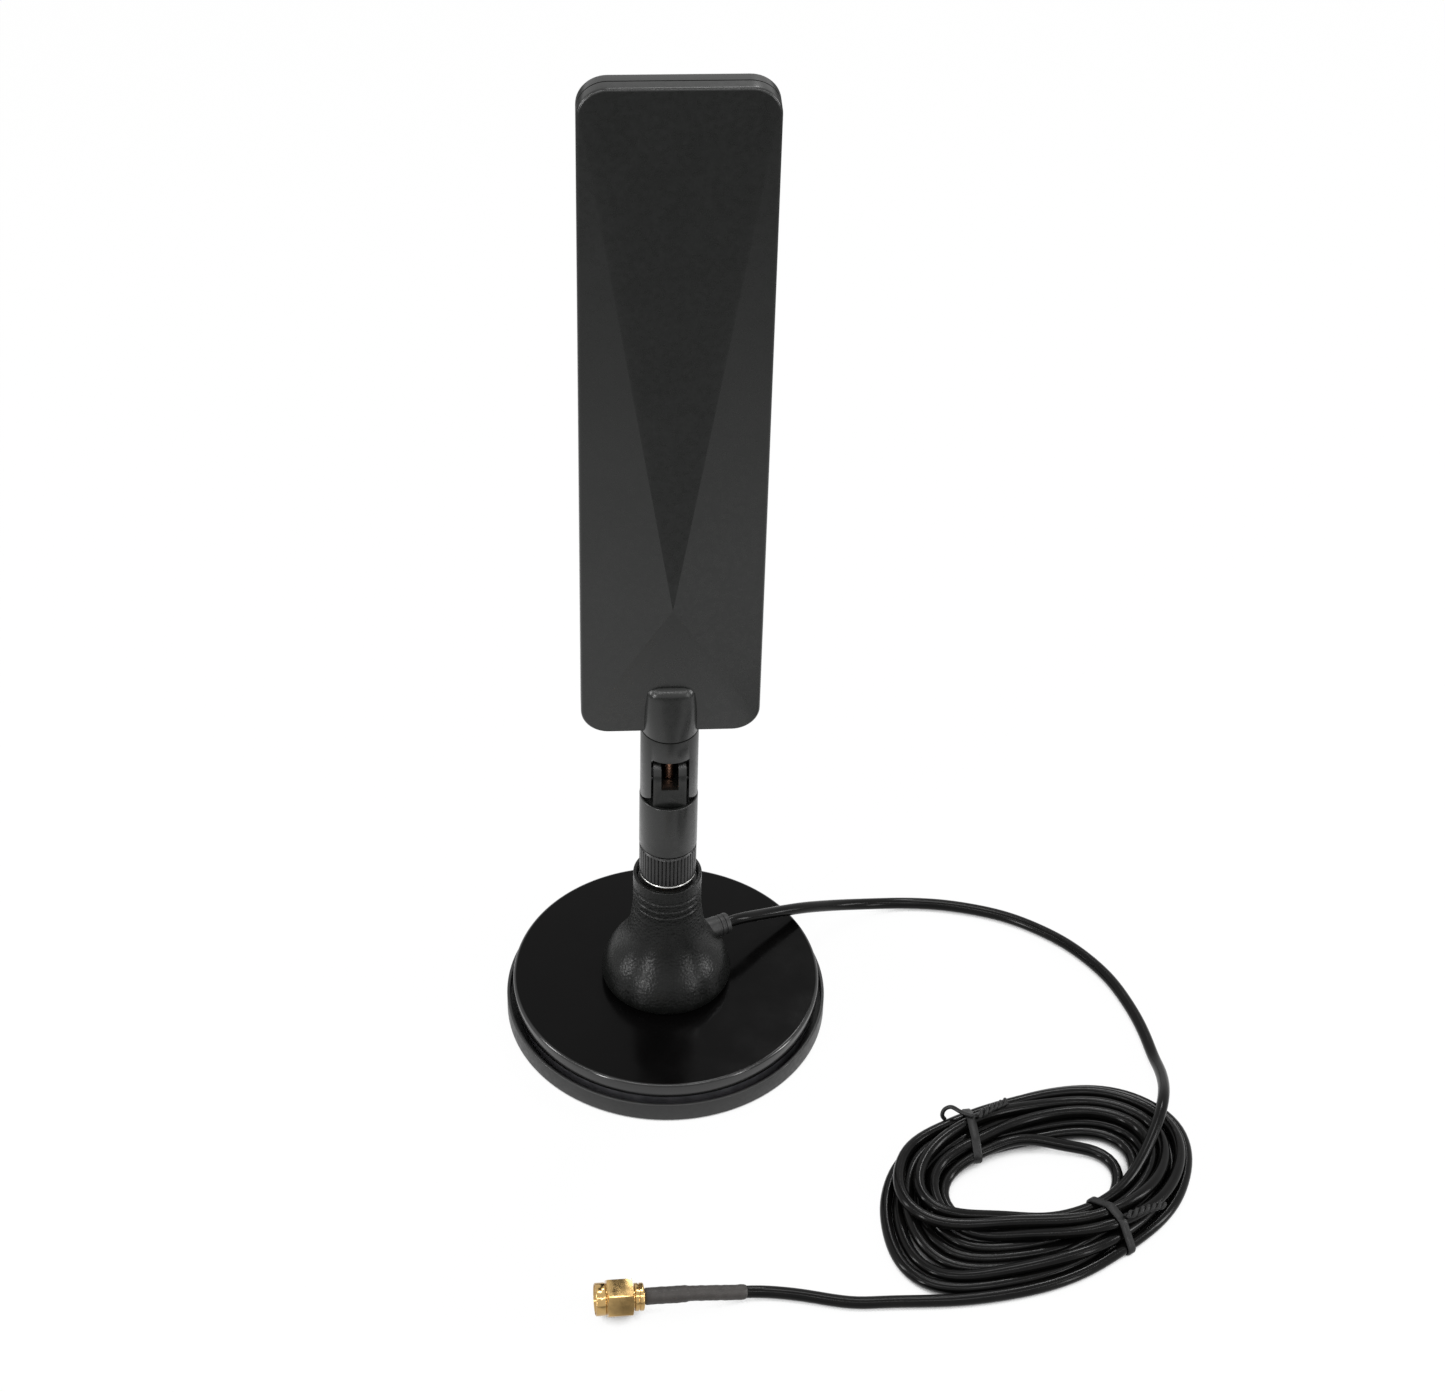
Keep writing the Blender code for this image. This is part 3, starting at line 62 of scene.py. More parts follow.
TONGUE_HALF, TONGUE_RADIUS, SLOT_HALF, SLOT_DROP = 0.00376, 0.0050, 0.00197, 0.0022
UPPER_RADIUS, EAR_RADIUS, UPPER_TOP = 0.0066, 0.00665, 0.0899
SPIGOT_RADIUS, SPIGOT_TOP = 0.0050, 0.0977
WINDOW_HALF, WINDOW_TOP, BACK_WALL = 0.00433, 0.0840, 0.0053
BLADE_BOTTOM, BLADE_TOP, BLADE_HALF, BLADE_THICKNESS = 0.0906, 0.2545, 0.0200, 0.0059
BLADE_CORNER, BLADE_EDGE, BLADE_WALL = 0.0062, 0.0007, 0.0015
APEX_HEIGHT, APEX_RISE = 0.1281, 0.0033
CABLE_RADIUS = 0.0014


# Camera, at the photograph's viewing angle: azimuth, elevation and roll in degrees, its place
# rightward, upward and backward from the origin, and its focal length in pixels of the photograph

CAMERA_TURNS = (-4.401, 40.829, 1.677)
CAMERA_PLACE = (0.013885, 0.074522, 0.77981)
FOCAL_PIXELS, PHOTO_WIDTH, SENSOR_WIDTH = 3200.12, 1445, 36


def make_camera():
    azimuth, elevation, roll = (math.radians(v) for v in CAMERA_TURNS)
    back = Vector((math.sin(azimuth) * math.cos(elevation),
                   -math.cos(azimuth) * math.cos(elevation), math.sin(elevation)))
    level = Vector((math.cos(azimuth), math.sin(azimuth), 0))
    upward = level.cross(-back)
    axes = (math.cos(roll) * level + math.sin(roll) * upward,
            -math.sin(roll) * level + math.cos(roll) * upward, back)
    place = sum((axis * reach for axis, reach in zip(axes, CAMERA_PLACE)), Vector())
    camera = bpy.data.objects.new("camera", bpy.data.cameras.new("camera"))
    bpy.context.scene.collection.objects.link(camera)
    camera.data.lens = FOCAL_PIXELS / PHOTO_WIDTH * SENSOR_WIDTH
    camera.data.sensor_width = SENSOR_WIDTH
    camera.data.sensor_fit = "HORIZONTAL"
    camera.data.clip_start = 0.05
    camera.matrix_world = Matrix.Translation(place) @ Matrix(axes).transposed().to_4x4()
    bpy.context.scene.camera = camera


make_camera()


# Curves


def arc(centre_a, centre_b, radius, start, end, steps):
    turns = (math.radians(start + (end - start) * i / steps) for i in range(steps + 1))
    return [(centre_a + radius * math.cos(t), centre_b + radius * math.sin(t)) for t in turns]


def blended(a, b, c, d, t):
    """Smooth value between b and c, at share t of the way."""
    return 0.5 * (2 * b + (c - a) * t + (2 * a - 5 * b + 4 * c - d) * t**2
                  + (3 * b - a - 3 * c + d) * t**3)


def distances(points):
    """How far along a run of points each one lies."""
    return np.concatenate([[0], np.cumsum(np.linalg.norm(np.diff(points, axis=0), axis=1))])


def evenly(points, spacing):
    along = distances(points)
    wanted = np.linspace(0, along[-1], max(2, round(along[-1] / spacing) + 1))
    return np.stack([np.interp(wanted, along, points[:, k]) for k in range(points.shape[1])], 1)


def through(points, spacing):
    """Evenly spaced points on a smooth curve through the given ones."""
    knots = np.asarray(points, float)
    knots = np.vstack([2 * knots[0] - knots[1], knots, 2 * knots[-1] - knots[-2]])
    t = np.linspace(0, 1, 24, endpoint=False)[:, None]
    parts = [blended(*four, t) for four in zip(knots, knots[1:], knots[2:], knots[3:])]
    return evenly(np.vstack(parts + [knots[-2:-1]]), spacing)


# Lead: its route outside the coil, and the coil, laid turn by turn and left to settle

GLAND_DIRECTION = Vector((math.cos(GLAND_ANGLE), math.sin(GLAND_ANGLE), 0))
GLAND_MOUTH = Vector((0, 0, GLAND_HEIGHT)) + GLAND_DIRECTION * 0.0166
LEAD_ROUTE = (
    (0.0235, 0.0122, 0.0169), (0.0338, 0.0187, 0.0124), (0.0419, 0.0248, 0.0070),
    (0.0475, 0.0277, 0.0043), (0.0552, 0.0299, 0.0022), (0.0629, 0.0305, 0.0015),
    (0.0729, 0.0292, 0.0015), (0.0851, 0.0254, 0.0015), (0.0945, 0.0198, 0.0015),
    (0.1019, 0.0132, 0.0015), (0.1086, 0.0038, 0.0015), (0.1123, -0.0052, 0.0015),
    (0.1147, -0.0142, 0.0015), (0.1161, -0.0246, 0.0015),
)
SLEEVE_ROUTE = ((0.0046, -0.0924, 0.0037), (0.0092, -0.0918, 0.0028), (0.0138, -0.0911, 0.0020))
TAIL_ROUTE = ((0.0389, -0.0949, 0.0015), (0.0324, -0.0937, 0.0015), (0.0258, -0.0920, 0.0015),
              (0.0180, -0.0908, 0.0015))
COIL_MIDDLE = (0.0822, -0.0615)
# How far the coil's edge and its hole reach, in millimetres, clockwise from the right
OUTER_REACH = (33.2, 29.0, 26.6, 26.2, 27.6, 33.2, 43.0, 35.4,
               30.0, 28.6, 26.8, 26.4, 26.4, 29.2, 34.6, 37.6)
HOLE_REACH = (22.8, 18.2, 14.6, 13.1, 12.8, 13.5, 15.8, 23.4,
              24.4, 17.8, 13.3, 12.0, 12.3, 14.6, 19.3, 23.9)
# How far out each pass lies, from the hole at 0 to the outer edge at 1, at eight
# directions from the right, clockwise.
PASSES = (
    (0.30, 0.02, 0.02, 0.10, 0.60, 0.66, 0.60, 0.62),
    (0.62, 0.42, 0.18, 0.20, 0.85, 0.92, 0.85, 0.88),
    (0.88, 0.64, 0.30, 0.28, 0.28, 0.30, 0.40, 0.40),
    (0.40, 0.30, 0.22, 0.18, 0.06, 0.08, 0.04, -0.30),
    (-0.14, 0.12, 0.40, 0.38, 0.32, 0.25, 0.20, 0.20),
    (0.18, 0.45, 0.50, 0.50, 0.46, 0.45, 0.50, 0.55),
    (0.52, 0.54, 0.60, 0.61, 0.64, 0.62, 0.70, 0.72),
    (0.76, 0.84, 0.73, 0.75, 0.82, 0.40, 0.32, 0.45),
    (0.50, 0.70, 0.85, 0.88, 0.98, 0.80, 0.96, 0.96),
    (0.96, 0.96, 0.98),
)
TURN_CLIMB = 0.0020
COIL_SPACING, FLOOR_GAP = 0.0014, 0.00005
# Where each tie goes down at the coil's edge and in its hole
TIES = (((0.0683, -0.0420), (0.0700, -0.0590)), ((0.1020, -0.0830), (0.0938, -0.0700)))
ONTO_COIL = (
    (0.1161, -0.0246, 0.0015), (0.1164, -0.0290, 0.0015), (0.1162, -0.0335, 0.0045),
    (0.1158, -0.0380, 0.0115), (0.1150, -0.0430, 0.0180), (0.1136, -0.0490, 0.0210),
    (0.1085, -0.0598, 0.0213), (0.1015, -0.0682, 0.0205),
)
OFF_COIL = ((0.0747, -0.0903, 0.0015), (0.0675, -0.0915, 0.0015), (0.0608, -0.0928, 0.0015),
            (0.0545, -0.0938, 0.0015), (0.0470, -0.0946, 0.0015), (0.0389, -0.0949, 0.0015))


def reach_at(table, turns):
    k, t = divmod((turns % 1.0) * len(table), 1)
    return 0.001 * blended(*(table[(int(k) + i) % len(table)] for i in (-1, 0, 1, 2)), t)


def stiffener(count, stiffness):
    """Matrix that eases a run of points as a stiff cable would."""
    bend = np.zeros((count - 2, count))
    for i in range(count - 2):
        bend[i, i:i + 3] = 1, -2, 1
    return np.linalg.inv(np.eye(count) + stiffness * bend.T @ bend)


def planned_coil():
    shares = [share for row in PASSES for share in row]
    last = len(shares) - 1
    points = list(ONTO_COIL)
    for place in np.arange(1.0, last + 0.01, 0.25):
        k = min(int(place), last - 1)
        share = blended(*(shares[min(max(k + i, 0), last)] for i in (-1, 0, 1, 2)), place - k)
        low, high = reach_at(HOLE_REACH, place / 8), reach_at(OUTER_REACH, place / 8)
        reach = low + share * (high - low)
        turn = -place * math.pi / 4
        points.append((COIL_MIDDLE[0] + reach * math.cos(turn),
                       COIL_MIDDLE[1] + reach * math.sin(turn),
                       CABLE_RADIUS + TURN_CLIMB * (last - place) / 8))
    plan = through(points + list(OFF_COIL), COIL_SPACING)
    plan[:, 2] = np.maximum(plan[:, 2], CABLE_RADIUS + FLOOR_GAP)
    to_end = np.minimum(np.arange(len(plan)), np.arange(len(plan))[::-1])
    eased = stiffener(len(plan), 12.0) @ plan
    return plan + np.minimum(1, to_end / 12)[:, None] * (eased - plan)


def tie_pull(x):
    """How each tie draws the strands under it together."""
    pull = np.zeros((len(x), 2))
    for outer, inner in TIES:
        outer, inner = np.array(outer), np.array(inner)
        reach = np.linalg.norm(inner - outer)
        across = (inner - outer) / reach
        from_middle = x[:, :2] - (outer + inner) / 2
        place = from_middle @ across
        aside = np.abs(from_middle @ np.array([across[1], -across[0]]))
        held = (aside < 0.003) & (np.abs(place) < reach / 2 + 0.003)
        pull -= (held * place)[:, None] * across
    return pull


def settled(plan, steps=300, rounds=6, gap=0.0029, near=6):
    """The coil under its own weight, as stiff as the cable is."""
    x = plan.copy()
    count = len(x)
    to_end = np.minimum(np.arange(count), np.arange(count)[::-1])
    free = np.clip((to_end - 2) / 5, 0, 1)[:, None]
    hold = 0.035 + 0.10 * np.clip(1 - (np.arange(count) - 20) / 20, 0, 1)[:, None]
    stiff = stiffener(count, 10.0)
    first, second = np.nonzero(np.triu(np.ones((count, count), bool), near + 1))
    before = x.copy()
    for step in range(steps):
        speed = (x - before) * 0.5
        before = x.copy()
        x = x + free * speed
        x[:, 2:] -= free * 0.00005
        if step < steps - 25:
            x[:, :2] += free * hold * (plan - x)[:, :2]
        x[:, :2] += free * 0.05 * tie_pull(x)
        if step % 6 == 0:
            close = np.linalg.norm(x[first] - x[second], axis=1) < gap + 0.0022
            a, b = first[close], second[close]
        for _ in range(rounds):
            line = x[b] - x[a]
            length = np.linalg.norm(line, axis=1)
            hit = length < gap
            i, j = a[hit], b[hit]
            push = (0.5 * (gap - length[hit]) / np.maximum(length[hit], 1e-6))[:, None] * line[hit]
            total, hits = np.zeros_like(x), np.zeros((count, 1))
            np.add.at(total, i, -push)
            np.add.at(total, j, push)
            np.add.at(hits, i, 1)
            np.add.at(hits, j, 1)
            total = 1.6 * total / np.maximum(hits, 1)
            total[:, 2] += np.maximum(0, CABLE_RADIUS + FLOOR_GAP - x[:, 2] - total[:, 2])
            x = plan + free * (stiff @ (x + free * total - plan))
    x[:, 2] = np.maximum(x[:, 2], CABLE_RADIUS + 0.00003)
    out = distances(x[:, :2])
    slopes = (x[1:40, 2] - x[0, 2]) / out[1:40]
    rise = slopes[4:].argmax() + 5
    x[:rise, 2] = x[0, 2] + slopes[rise - 1] * out[:rise]
    return evenly(x, COIL_SPACING)


UP = Vector((0, 0, 1))


def aimed(start, direction):
    """The matrix that lays what stands on the origin along a line."""
    turn = UP.rotation_difference(direction).to_matrix().to_4x4()
    return Matrix.Translation(start) @ turn


def plug_matrix():
    aside, tilt = math.radians(4.2), math.radians(2.2)
    ahead = Vector((math.cos(aside) * math.cos(tilt), math.sin(aside) * math.cos(tilt),
                    -math.sin(tilt)))
    return aimed((-0.0198, -0.0944, 0.005057), ahead) @ Matrix.Rotation(math.radians(-4), 4, "Z")


PLUG = plug_matrix()
PLUG_RING, FERRULE_END = 0.0079, 0.0207


def lead_path():
    inside = GLAND_MOUTH - GLAND_DIRECTION * 0.0030
    straight = GLAND_MOUTH + GLAND_DIRECTION * 0.0028
    out = through([inside, GLAND_MOUTH, straight, *LEAD_ROUTE, *ONTO_COIL[1:3]], 0.0020)
    out = out[:np.linalg.norm(out - LEAD_ROUTE[-1], axis=1).argmin()]
    coil = settled(planned_coil())
    ferrule = [PLUG @ Vector((0, 0, 0.0212)), PLUG @ Vector((0, 0, 0.0222))]
    tail = through([*OFF_COIL[-2:], *TAIL_ROUTE[1:], *reversed(SLEEVE_ROUTE), *reversed(ferrule)],
                   0.0020)
    tail = tail[np.linalg.norm(tail - OFF_COIL[-1], axis=1).argmin() + 1:]
    whole = evenly(np.vstack([out, coil, tail]), 0.0018)
    for _ in range(3):
        whole[1:-1] = 0.5 * whole[1:-1] + 0.25 * (whole[:-2] + whole[2:])
    return whole


# Meshes


def piece_from(name, bm, sharp=30.0):
    bmesh.ops.remove_doubles(bm, verts=bm.verts, dist=1e-7)
    bmesh.ops.recalc_face_normals(bm, faces=bm.faces)
    mesh = bpy.data.meshes.new(name)
    bm.to_mesh(mesh)
    bm.free()
    piece = bpy.data.objects.new(name, mesh)
    bpy.context.scene.collection.objects.link(piece)
    shade(piece, sharp)
    return piece


def shade(piece, sharp=30.0):
    mesh = piece.data
    mesh.polygons.foreach_set("use_smooth", np.ones(len(mesh.polygons), bool))
    mesh.set_sharp_from_angle(angle=math.radians(sharp))


def turned(name, outline, sides=96, sharp=30.0, reach=None):
    """A solid of revolution about Z. reach(turn, radius, height) may shape the radius."""
    bm = bmesh.new()
    closed = outline[0][0] > 1e-9 or outline[-1][0] > 1e-9
    loops = []
    for radius, height in outline:
        if radius < 1e-9:
            loops.append([bm.verts.new((0, 0, height))])
            continue
        loop = []
        for i in range(sides):
            turn = 2 * math.pi * i / sides
            r = reach(turn, radius, height) if reach else radius
            loop.append(bm.verts.new((r * math.cos(turn), r * math.sin(turn), height)))
        loops.append(loop)
    pairs = list(zip(loops, loops[1:]))
    if closed:
        pairs.append((loops[-1], loops[0]))
    for lower, upper in pairs:
        for i in range(sides):
            j = (i + 1) % sides
            corners = list(dict.fromkeys((lower[i % len(lower)], lower[j % len(lower)],
                                          upper[j % len(upper)], upper[i % len(upper)])))
            if len(corners) > 2:
                bm.faces.new(corners)
    return piece_from(name, bm, sharp)


def stitched(bm, loops):
    """Faces between each loop of vertices and the next."""
    for lower, upper in zip(loops, loops[1:]):
        for i in range(len(lower)):
            j = (i + 1) % len(lower)
            bm.faces.new((lower[i], lower[j], upper[j], upper[i]))


def capped(bm, loops):
    bm.faces.new(list(reversed(loops[0])))
    bm.faces.new(loops[-1])


def prism(name, outline, low, high, along):
    place = {"X": lambda a, b, c: (c, a, b), "Y": lambda a, b, c: (a, c, b),
             "Z": lambda a, b, c: (a, b, c)}[along]
    bm = bmesh.new()
    loops = [[bm.verts.new(place(a, b, level)) for a, b in outline] for level in (low, high)]
    stitched(bm, loops)
    capped(bm, loops)
    return piece_from(name, bm)


def rod(name, start, end, radius, sides=48):
    start, end = Vector(start), Vector(end)
    reach = (end - start).length
    piece = turned(name, [(0, 0), (radius, 0), (radius, reach), (0, reach)], sides)
    piece.data.transform(aimed(start, end - start))
    return piece


def heading(path, k):
    return (path[min(k + 1, len(path) - 1)] - path[max(k - 1, 0)]).normalized()


def round_loop(bm, middle, side, other, sides, radius_at):
    """Vertices round a point. radius_at(turn) gives how far out each one is."""
    turns = (2 * math.pi * i / sides for i in range(sides))
    return [bm.verts.new(middle + radius_at(t) * (math.cos(t) * side + math.sin(t) * other))
            for t in turns]


def level_loop(bm, path, k, sides, radius_at):
    """Vertices round a point of a path, counted from its level side."""
    ahead = heading(path, k)
    side = ahead.cross(UP).normalized()
    return round_loop(bm, path[k], side, ahead.cross(side), sides, radius_at)


def tube(name, path, radius, sides=16):
    """A tube along a path, with flat ends and a UV map along it."""
    path = [Vector(point) for point in path]
    bm = bmesh.new()
    layer = bm.loops.layers.uv.new("along")
    side = None
    loops, along = [], distances(np.array(path))
    for k, point in enumerate(path):
        ahead = heading(path, k)
        if side is None:
            side = ahead.cross(UP)
            if side.length < 0.1:
                side = ahead.cross(Vector((0, 1, 0)))
        side = (side - ahead * side.dot(ahead)).normalized()
        loops.append(round_loop(bm, point, side, ahead.cross(side), sides, lambda turn: radius))
    for k, (lower, upper) in enumerate(zip(loops, loops[1:])):
        for i in range(sides):
            j = (i + 1) % sides
            face = bm.faces.new((lower[i], lower[j], upper[j], upper[i]))
            for loop, (u, v) in zip(face.loops, ((i, k), (i + 1, k), (i + 1, k + 1), (i, k + 1))):
                loop[layer].uv = (u / sides, along[v])
    capped(bm, loops)
    return piece_from(name, bm, 50.0)


def combine(target, tools, operation):
    """Boolean work, applied to the mesh at once."""
    for tool in tools:
        work = target.modifiers.new("work", "BOOLEAN")
        work.operation = operation
        work.solver = "EXACT"
        work.object = tool
    apply_all(target)
    for tool in tools:
        bpy.data.objects.remove(tool, do_unlink=True)
    return target


def apply_all(piece):
    graph = bpy.context.evaluated_depsgraph_get()
    graph.update()
    mesh = bpy.data.meshes.new_from_object(piece.evaluated_get(graph), depsgraph=graph)
    piece.modifiers.clear()
    old = piece.data
    piece.data = mesh
    bpy.data.meshes.remove(old)


def softened(piece, width, segments):
    """Small rounded edges, as moulded and turned parts have."""
    bm = bmesh.new()
    bm.from_mesh(piece.data)
    bmesh.ops.remove_doubles(bm, verts=bm.verts, dist=2e-6)
    bmesh.ops.dissolve_limit(bm, angle_limit=math.radians(0.5), verts=bm.verts, edges=bm.edges)
    bm.to_mesh(piece.data)
    bm.free()
    bevel = piece.modifiers.new("bevel", "BEVEL")
    bevel.width, bevel.segments = width, segments
    bevel.limit_method, bevel.angle_limit = "ANGLE", math.radians(30)
    apply_all(piece)
    shade(piece, 38.0)
    return piece


# Materials


class Tree:
    """The nodes of a material or world."""

    def __init__(self, owner):
        owner.use_nodes = True
        self.nodes, self.links = owner.node_tree.nodes, owner.node_tree.links

    def feed(self, socket, value):
        if isinstance(value, bpy.types.NodeSocket):
            self.links.new(value, socket)
        else:
            socket.default_value = value

    def add(self, kind, inputs=(), **settings):
        node = self.nodes.new("ShaderNode" + kind)
        for name, value in settings.items():
            setattr(node, name, value)
        for name, value in dict(inputs).items():
            self.feed(node.inputs[name], value)
        return node

    def math(self, operation, *values):
        return self.add("Math", enumerate(values), operation=operation).outputs[0]

    def between(self, *values, ease="LINEAR"):
        """Takes a value and maps a range of it, low to high, to another one."""
        return self.add("MapRange", enumerate(values), interpolation_type=ease).outputs[0]

    def length(self, vector):
        return self.add("VectorMath", {0: vector}, operation="LENGTH").outputs["Value"]


class Finish(Tree):
    """A material, built up step by step."""

    def __init__(self, name, colour, roughness, metallic, specular):
        self.material = bpy.data.materials.new(name)
        super().__init__(self.material)
        self.shader = self.nodes["Principled BSDF"].inputs
        for socket, value in (("Base Color", (*colour, 1)), ("Roughness", roughness),
                              ("Metallic", metallic), ("Specular IOR Level", specular)):
            self.shader[socket].default_value = value
        self.place = self.add("TexCoord").outputs["Object"]
        self.normal = None

    def noise(self, scale, detail):
        return self.add("TexNoise", {"Vector": self.place, "Scale": scale, "Detail": detail,
                                     "Roughness": 0.55}).outputs["Fac"]

    def vary_colour(self, source, *stops):
        ramp = self.add("ValToRGB", {"Fac": source})
        for element, (position, colour) in zip(ramp.color_ramp.elements, stops):
            element.position, element.color = position, (*colour, 1)
        self.feed(self.shader["Base Color"], ramp.outputs["Color"])

    def raise_by(self, source, distance, strength):
        bump = self.add("Bump", {"Distance": distance, "Strength": strength, "Height": source})
        if self.normal is not None:
            self.feed(bump.inputs["Normal"], self.normal)
        self.normal = bump.outputs["Normal"]
        self.feed(self.shader["Normal"], self.normal)


# Each finish: colour, roughness, metallic and specular level, and what noise does to it: to the
# roughness (scale, detail, range of the noise, range of the roughness), to the colour (scale,
# detail, range of the noise, darkest, lightest), and as bumps (scale, detail, height, strength)
FINISH_TABLE = {
    "boot_rubber": (
        (0.014, 0.014, 0.0135), 0.44, 0, 0.42, (900, 4, 0.35, 0.65, 0.40, 0.52),
        (60, 3, 0.35, 0.70, (0.010, 0.010, 0.010), (0.016, 0.016, 0.016)), (2200, 3, 0.00002, 0.5)),
    "cover_lacquer": (
        (0.0022, 0.0021, 0.0021), 0.15, 0, 0.07, (120, 5, 0.35, 0.7, 0.12, 0.22),
        None, (260, 3, 0.00004, 0.12), (3000, 2, 0.00001, 0.10)),
    "magnet": (
        (0.05, 0.05, 0.055), 0.6, 0, 0.5, None,
        (300, 6, 0.3, 0.7, (0.035, 0.035, 0.04), (0.07, 0.07, 0.075)), (1500, 6, 0.00005, 0.6)),
    "screw_steel": (
        (0.60, 0.60, 0.58), 0.32, 1, 0.5, (1200, 4, 0.35, 0.65, 0.24, 0.42),
        None, (2400, 3, 0.00001, 0.4)),
    "bell_finish": (
        (0.004, 0.0043, 0.004), 0.27, 0, 0.20, (1400, 3, 0.35, 0.65, 0.23, 0.34),
        (500, 4, 0.35, 0.70, (0.003, 0.0033, 0.003), (0.006, 0.0063, 0.006))),
    "gold_plate": (
        (0.50, 0.33, 0.13), 0.16, 1, 0.5, (500, 5, 0.35, 0.7, 0.11, 0.22),
        (140, 4, 0.30, 0.72, (0.46, 0.295, 0.115), (0.54, 0.365, 0.155)), (1600, 3, 0.00001, 0.08)),
    "dielectric": (
        (0.85, 0.85, 0.83), 0.35, 0, 0.5, (1500, 4, 0.35, 0.65, 0.30, 0.42), None),
    "black_metal": (
        (0.008, 0.008, 0.008), 0.28, 0, 0.42, (900, 4, 0.35, 0.65, 0.24, 0.34),
        (350, 4, 0.35, 0.70, (0.006, 0.006, 0.006), (0.011, 0.0108, 0.0105)),
        (3200, 3, 0.00002, 0.4)),
    "shell_plastic": (
        (0.0065, 0.007, 0.0065), 0.30, 0, 0.50, (700, 4, 0.35, 0.65, 0.26, 0.34),
        (90, 4, 0.30, 0.72, (0.0055, 0.006, 0.0055), (0.0078, 0.0083, 0.0078)),
        (3600, 3, 0.00001, 0.4)),
    "copper_braid": ((0.55, 0.28, 0.18), 0.34, 1, 0.5, None, None),
    "board_laminate": (
        (0.05, 0.20, 0.09), 0.4, 0, 0.5, None,
        (180, 3, 0.35, 0.70, (0.04, 0.17, 0.075), (0.06, 0.23, 0.10)), (2000, 2, 0.00002, 0.3)),
    "cable_jacket": (
        (0.003, 0.003, 0.003), 0.18, 0, 0.13, (500, 4, 0.35, 0.7, 0.15, 0.23),
        (150, 4, 0.35, 0.75, (0.0022, 0.0022, 0.0022), (0.0048, 0.0046, 0.0043)),
        (420, 4, 0.00004, 0.12), (3200, 2, 0.00001, 0.12)),
    "shrink_sleeve": (
        (0.036, 0.033, 0.030), 0.50, 0, 0.40, (900, 4, 0.35, 0.65, 0.44, 0.60),
        (500, 5, 0.30, 0.72, (0.028, 0.025, 0.023), (0.046, 0.041, 0.038)),
        (1300, 5, 0.00005, 0.6)),
    "tie_plastic": (
        (0.010, 0.010, 0.010), 0.42, 0, 0.25, (1100, 4, 0.35, 0.65, 0.36, 0.50),
        None, (2600, 3, 0.00003, 0.5)),
}


def make_finish(name, colour, roughness, metallic, specular, dulling, tones, *bumps):
    finish = Finish(name, colour, roughness, metallic, specular)
    if dulling:
        source = finish.noise(*dulling[:2])
        finish.feed(finish.shader["Roughness"], finish.between(source, *dulling[2:]))
    if tones:
        scale, detail, low, high, dark, light = tones
        finish.vary_colour(finish.noise(scale, detail), (low, dark), (high, light))
    for scale, detail, distance, strength in bumps:
        finish.raise_by(finish.noise(scale, detail), distance, strength)
    return finish


def make_finishes():
    made = {name: make_finish(name, *row) for name, row in FINISH_TABLE.items()}

    # The cover's flat face mirrors little, its rounded edge more
    cover = made["cover_lacquer"]
    flat = cover.add("Mapping", {"Vector": cover.place, "Scale": (1, 1, 0)}).outputs["Vector"]
    cover.feed(cover.shader["Specular IOR Level"],
               cover.between(cover.length(flat), 0.0361, 0.0364, 0.07, 0.60))

    bell = made["bell_finish"]
    grain = bell.add("TexVoronoi", {"Vector": bell.place, "Scale": 1500}, feature="F1")
    bell.raise_by(grain.outputs["Distance"], 0.00012, 0.45)
    bell.raise_by(bell.noise(5200, 3), 0.00005, 0.35)

    braid = made["copper_braid"]
    split = braid.add("SeparateXYZ", {0: braid.add("UVMap").outputs["UV"]}).outputs
    around = braid.math("MULTIPLY", split[0], 8.0)
    along = braid.math("MULTIPLY", split[1], 1100.0)
    weave = braid.math("MAXIMUM", *(
        braid.math("PINGPONG", braid.math(way, around, along), 0.5) for way in ("ADD", "SUBTRACT")))
    braid.vary_colour(weave, (0.05, (0.10, 0.04, 0.025)), (0.45, (0.72, 0.40, 0.27)))
    braid.raise_by(weave, 0.00012, 0.8)
    return {name: finish.material for name, finish in made.items()}


FINISHES = make_finishes()


def place_piece(piece, slot, body, *nodes):
    piece.data.materials.append(FINISHES[slot])
    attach(piece, body)
    if nodes:
        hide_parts(*nodes)
    return piece


# Stand


def make_boot():
    outline = [(0.0, 0.0)]
    outline += arc(BOOT_RADIUS - 0.0005, 0.0005, 0.0005, -90, 0, 5)
    lip_inner, lip_top = BOOT_RADIUS - 0.0008, BOOT_HEIGHT - 0.0005
    outline += arc(BOOT_RADIUS - 0.0004, lip_top - 0.0004, 0.0004, 0, 90, 5)
    outline += arc(lip_inner + 0.0002, lip_top - 0.0002, 0.0002, 90, 180, 2)
    outline += [(lip_inner, BOOT_FLOOR + 0.0012), (BASE_INNER, BOOT_FLOOR + 0.0010),
                (BASE_INNER, BOOT_FLOOR), (0.0, BOOT_FLOOR)]
    return turned("boot", outline, 160)


def screw_rods(name, low, high, radius):
    """A rod at each of the base's three screws."""
    turns = (GLAND_ANGLE + 2 * math.pi * (number + 0.5) / 3 for number in range(3))
    places = [Vector((POST_CIRCLE * math.cos(t), POST_CIRCLE * math.sin(t), 0.0)) for t in turns]
    return [rod(f"{name}_{n}", place + UP * low, place + UP * high, radius, 24)
            for n, place in enumerate(places)]


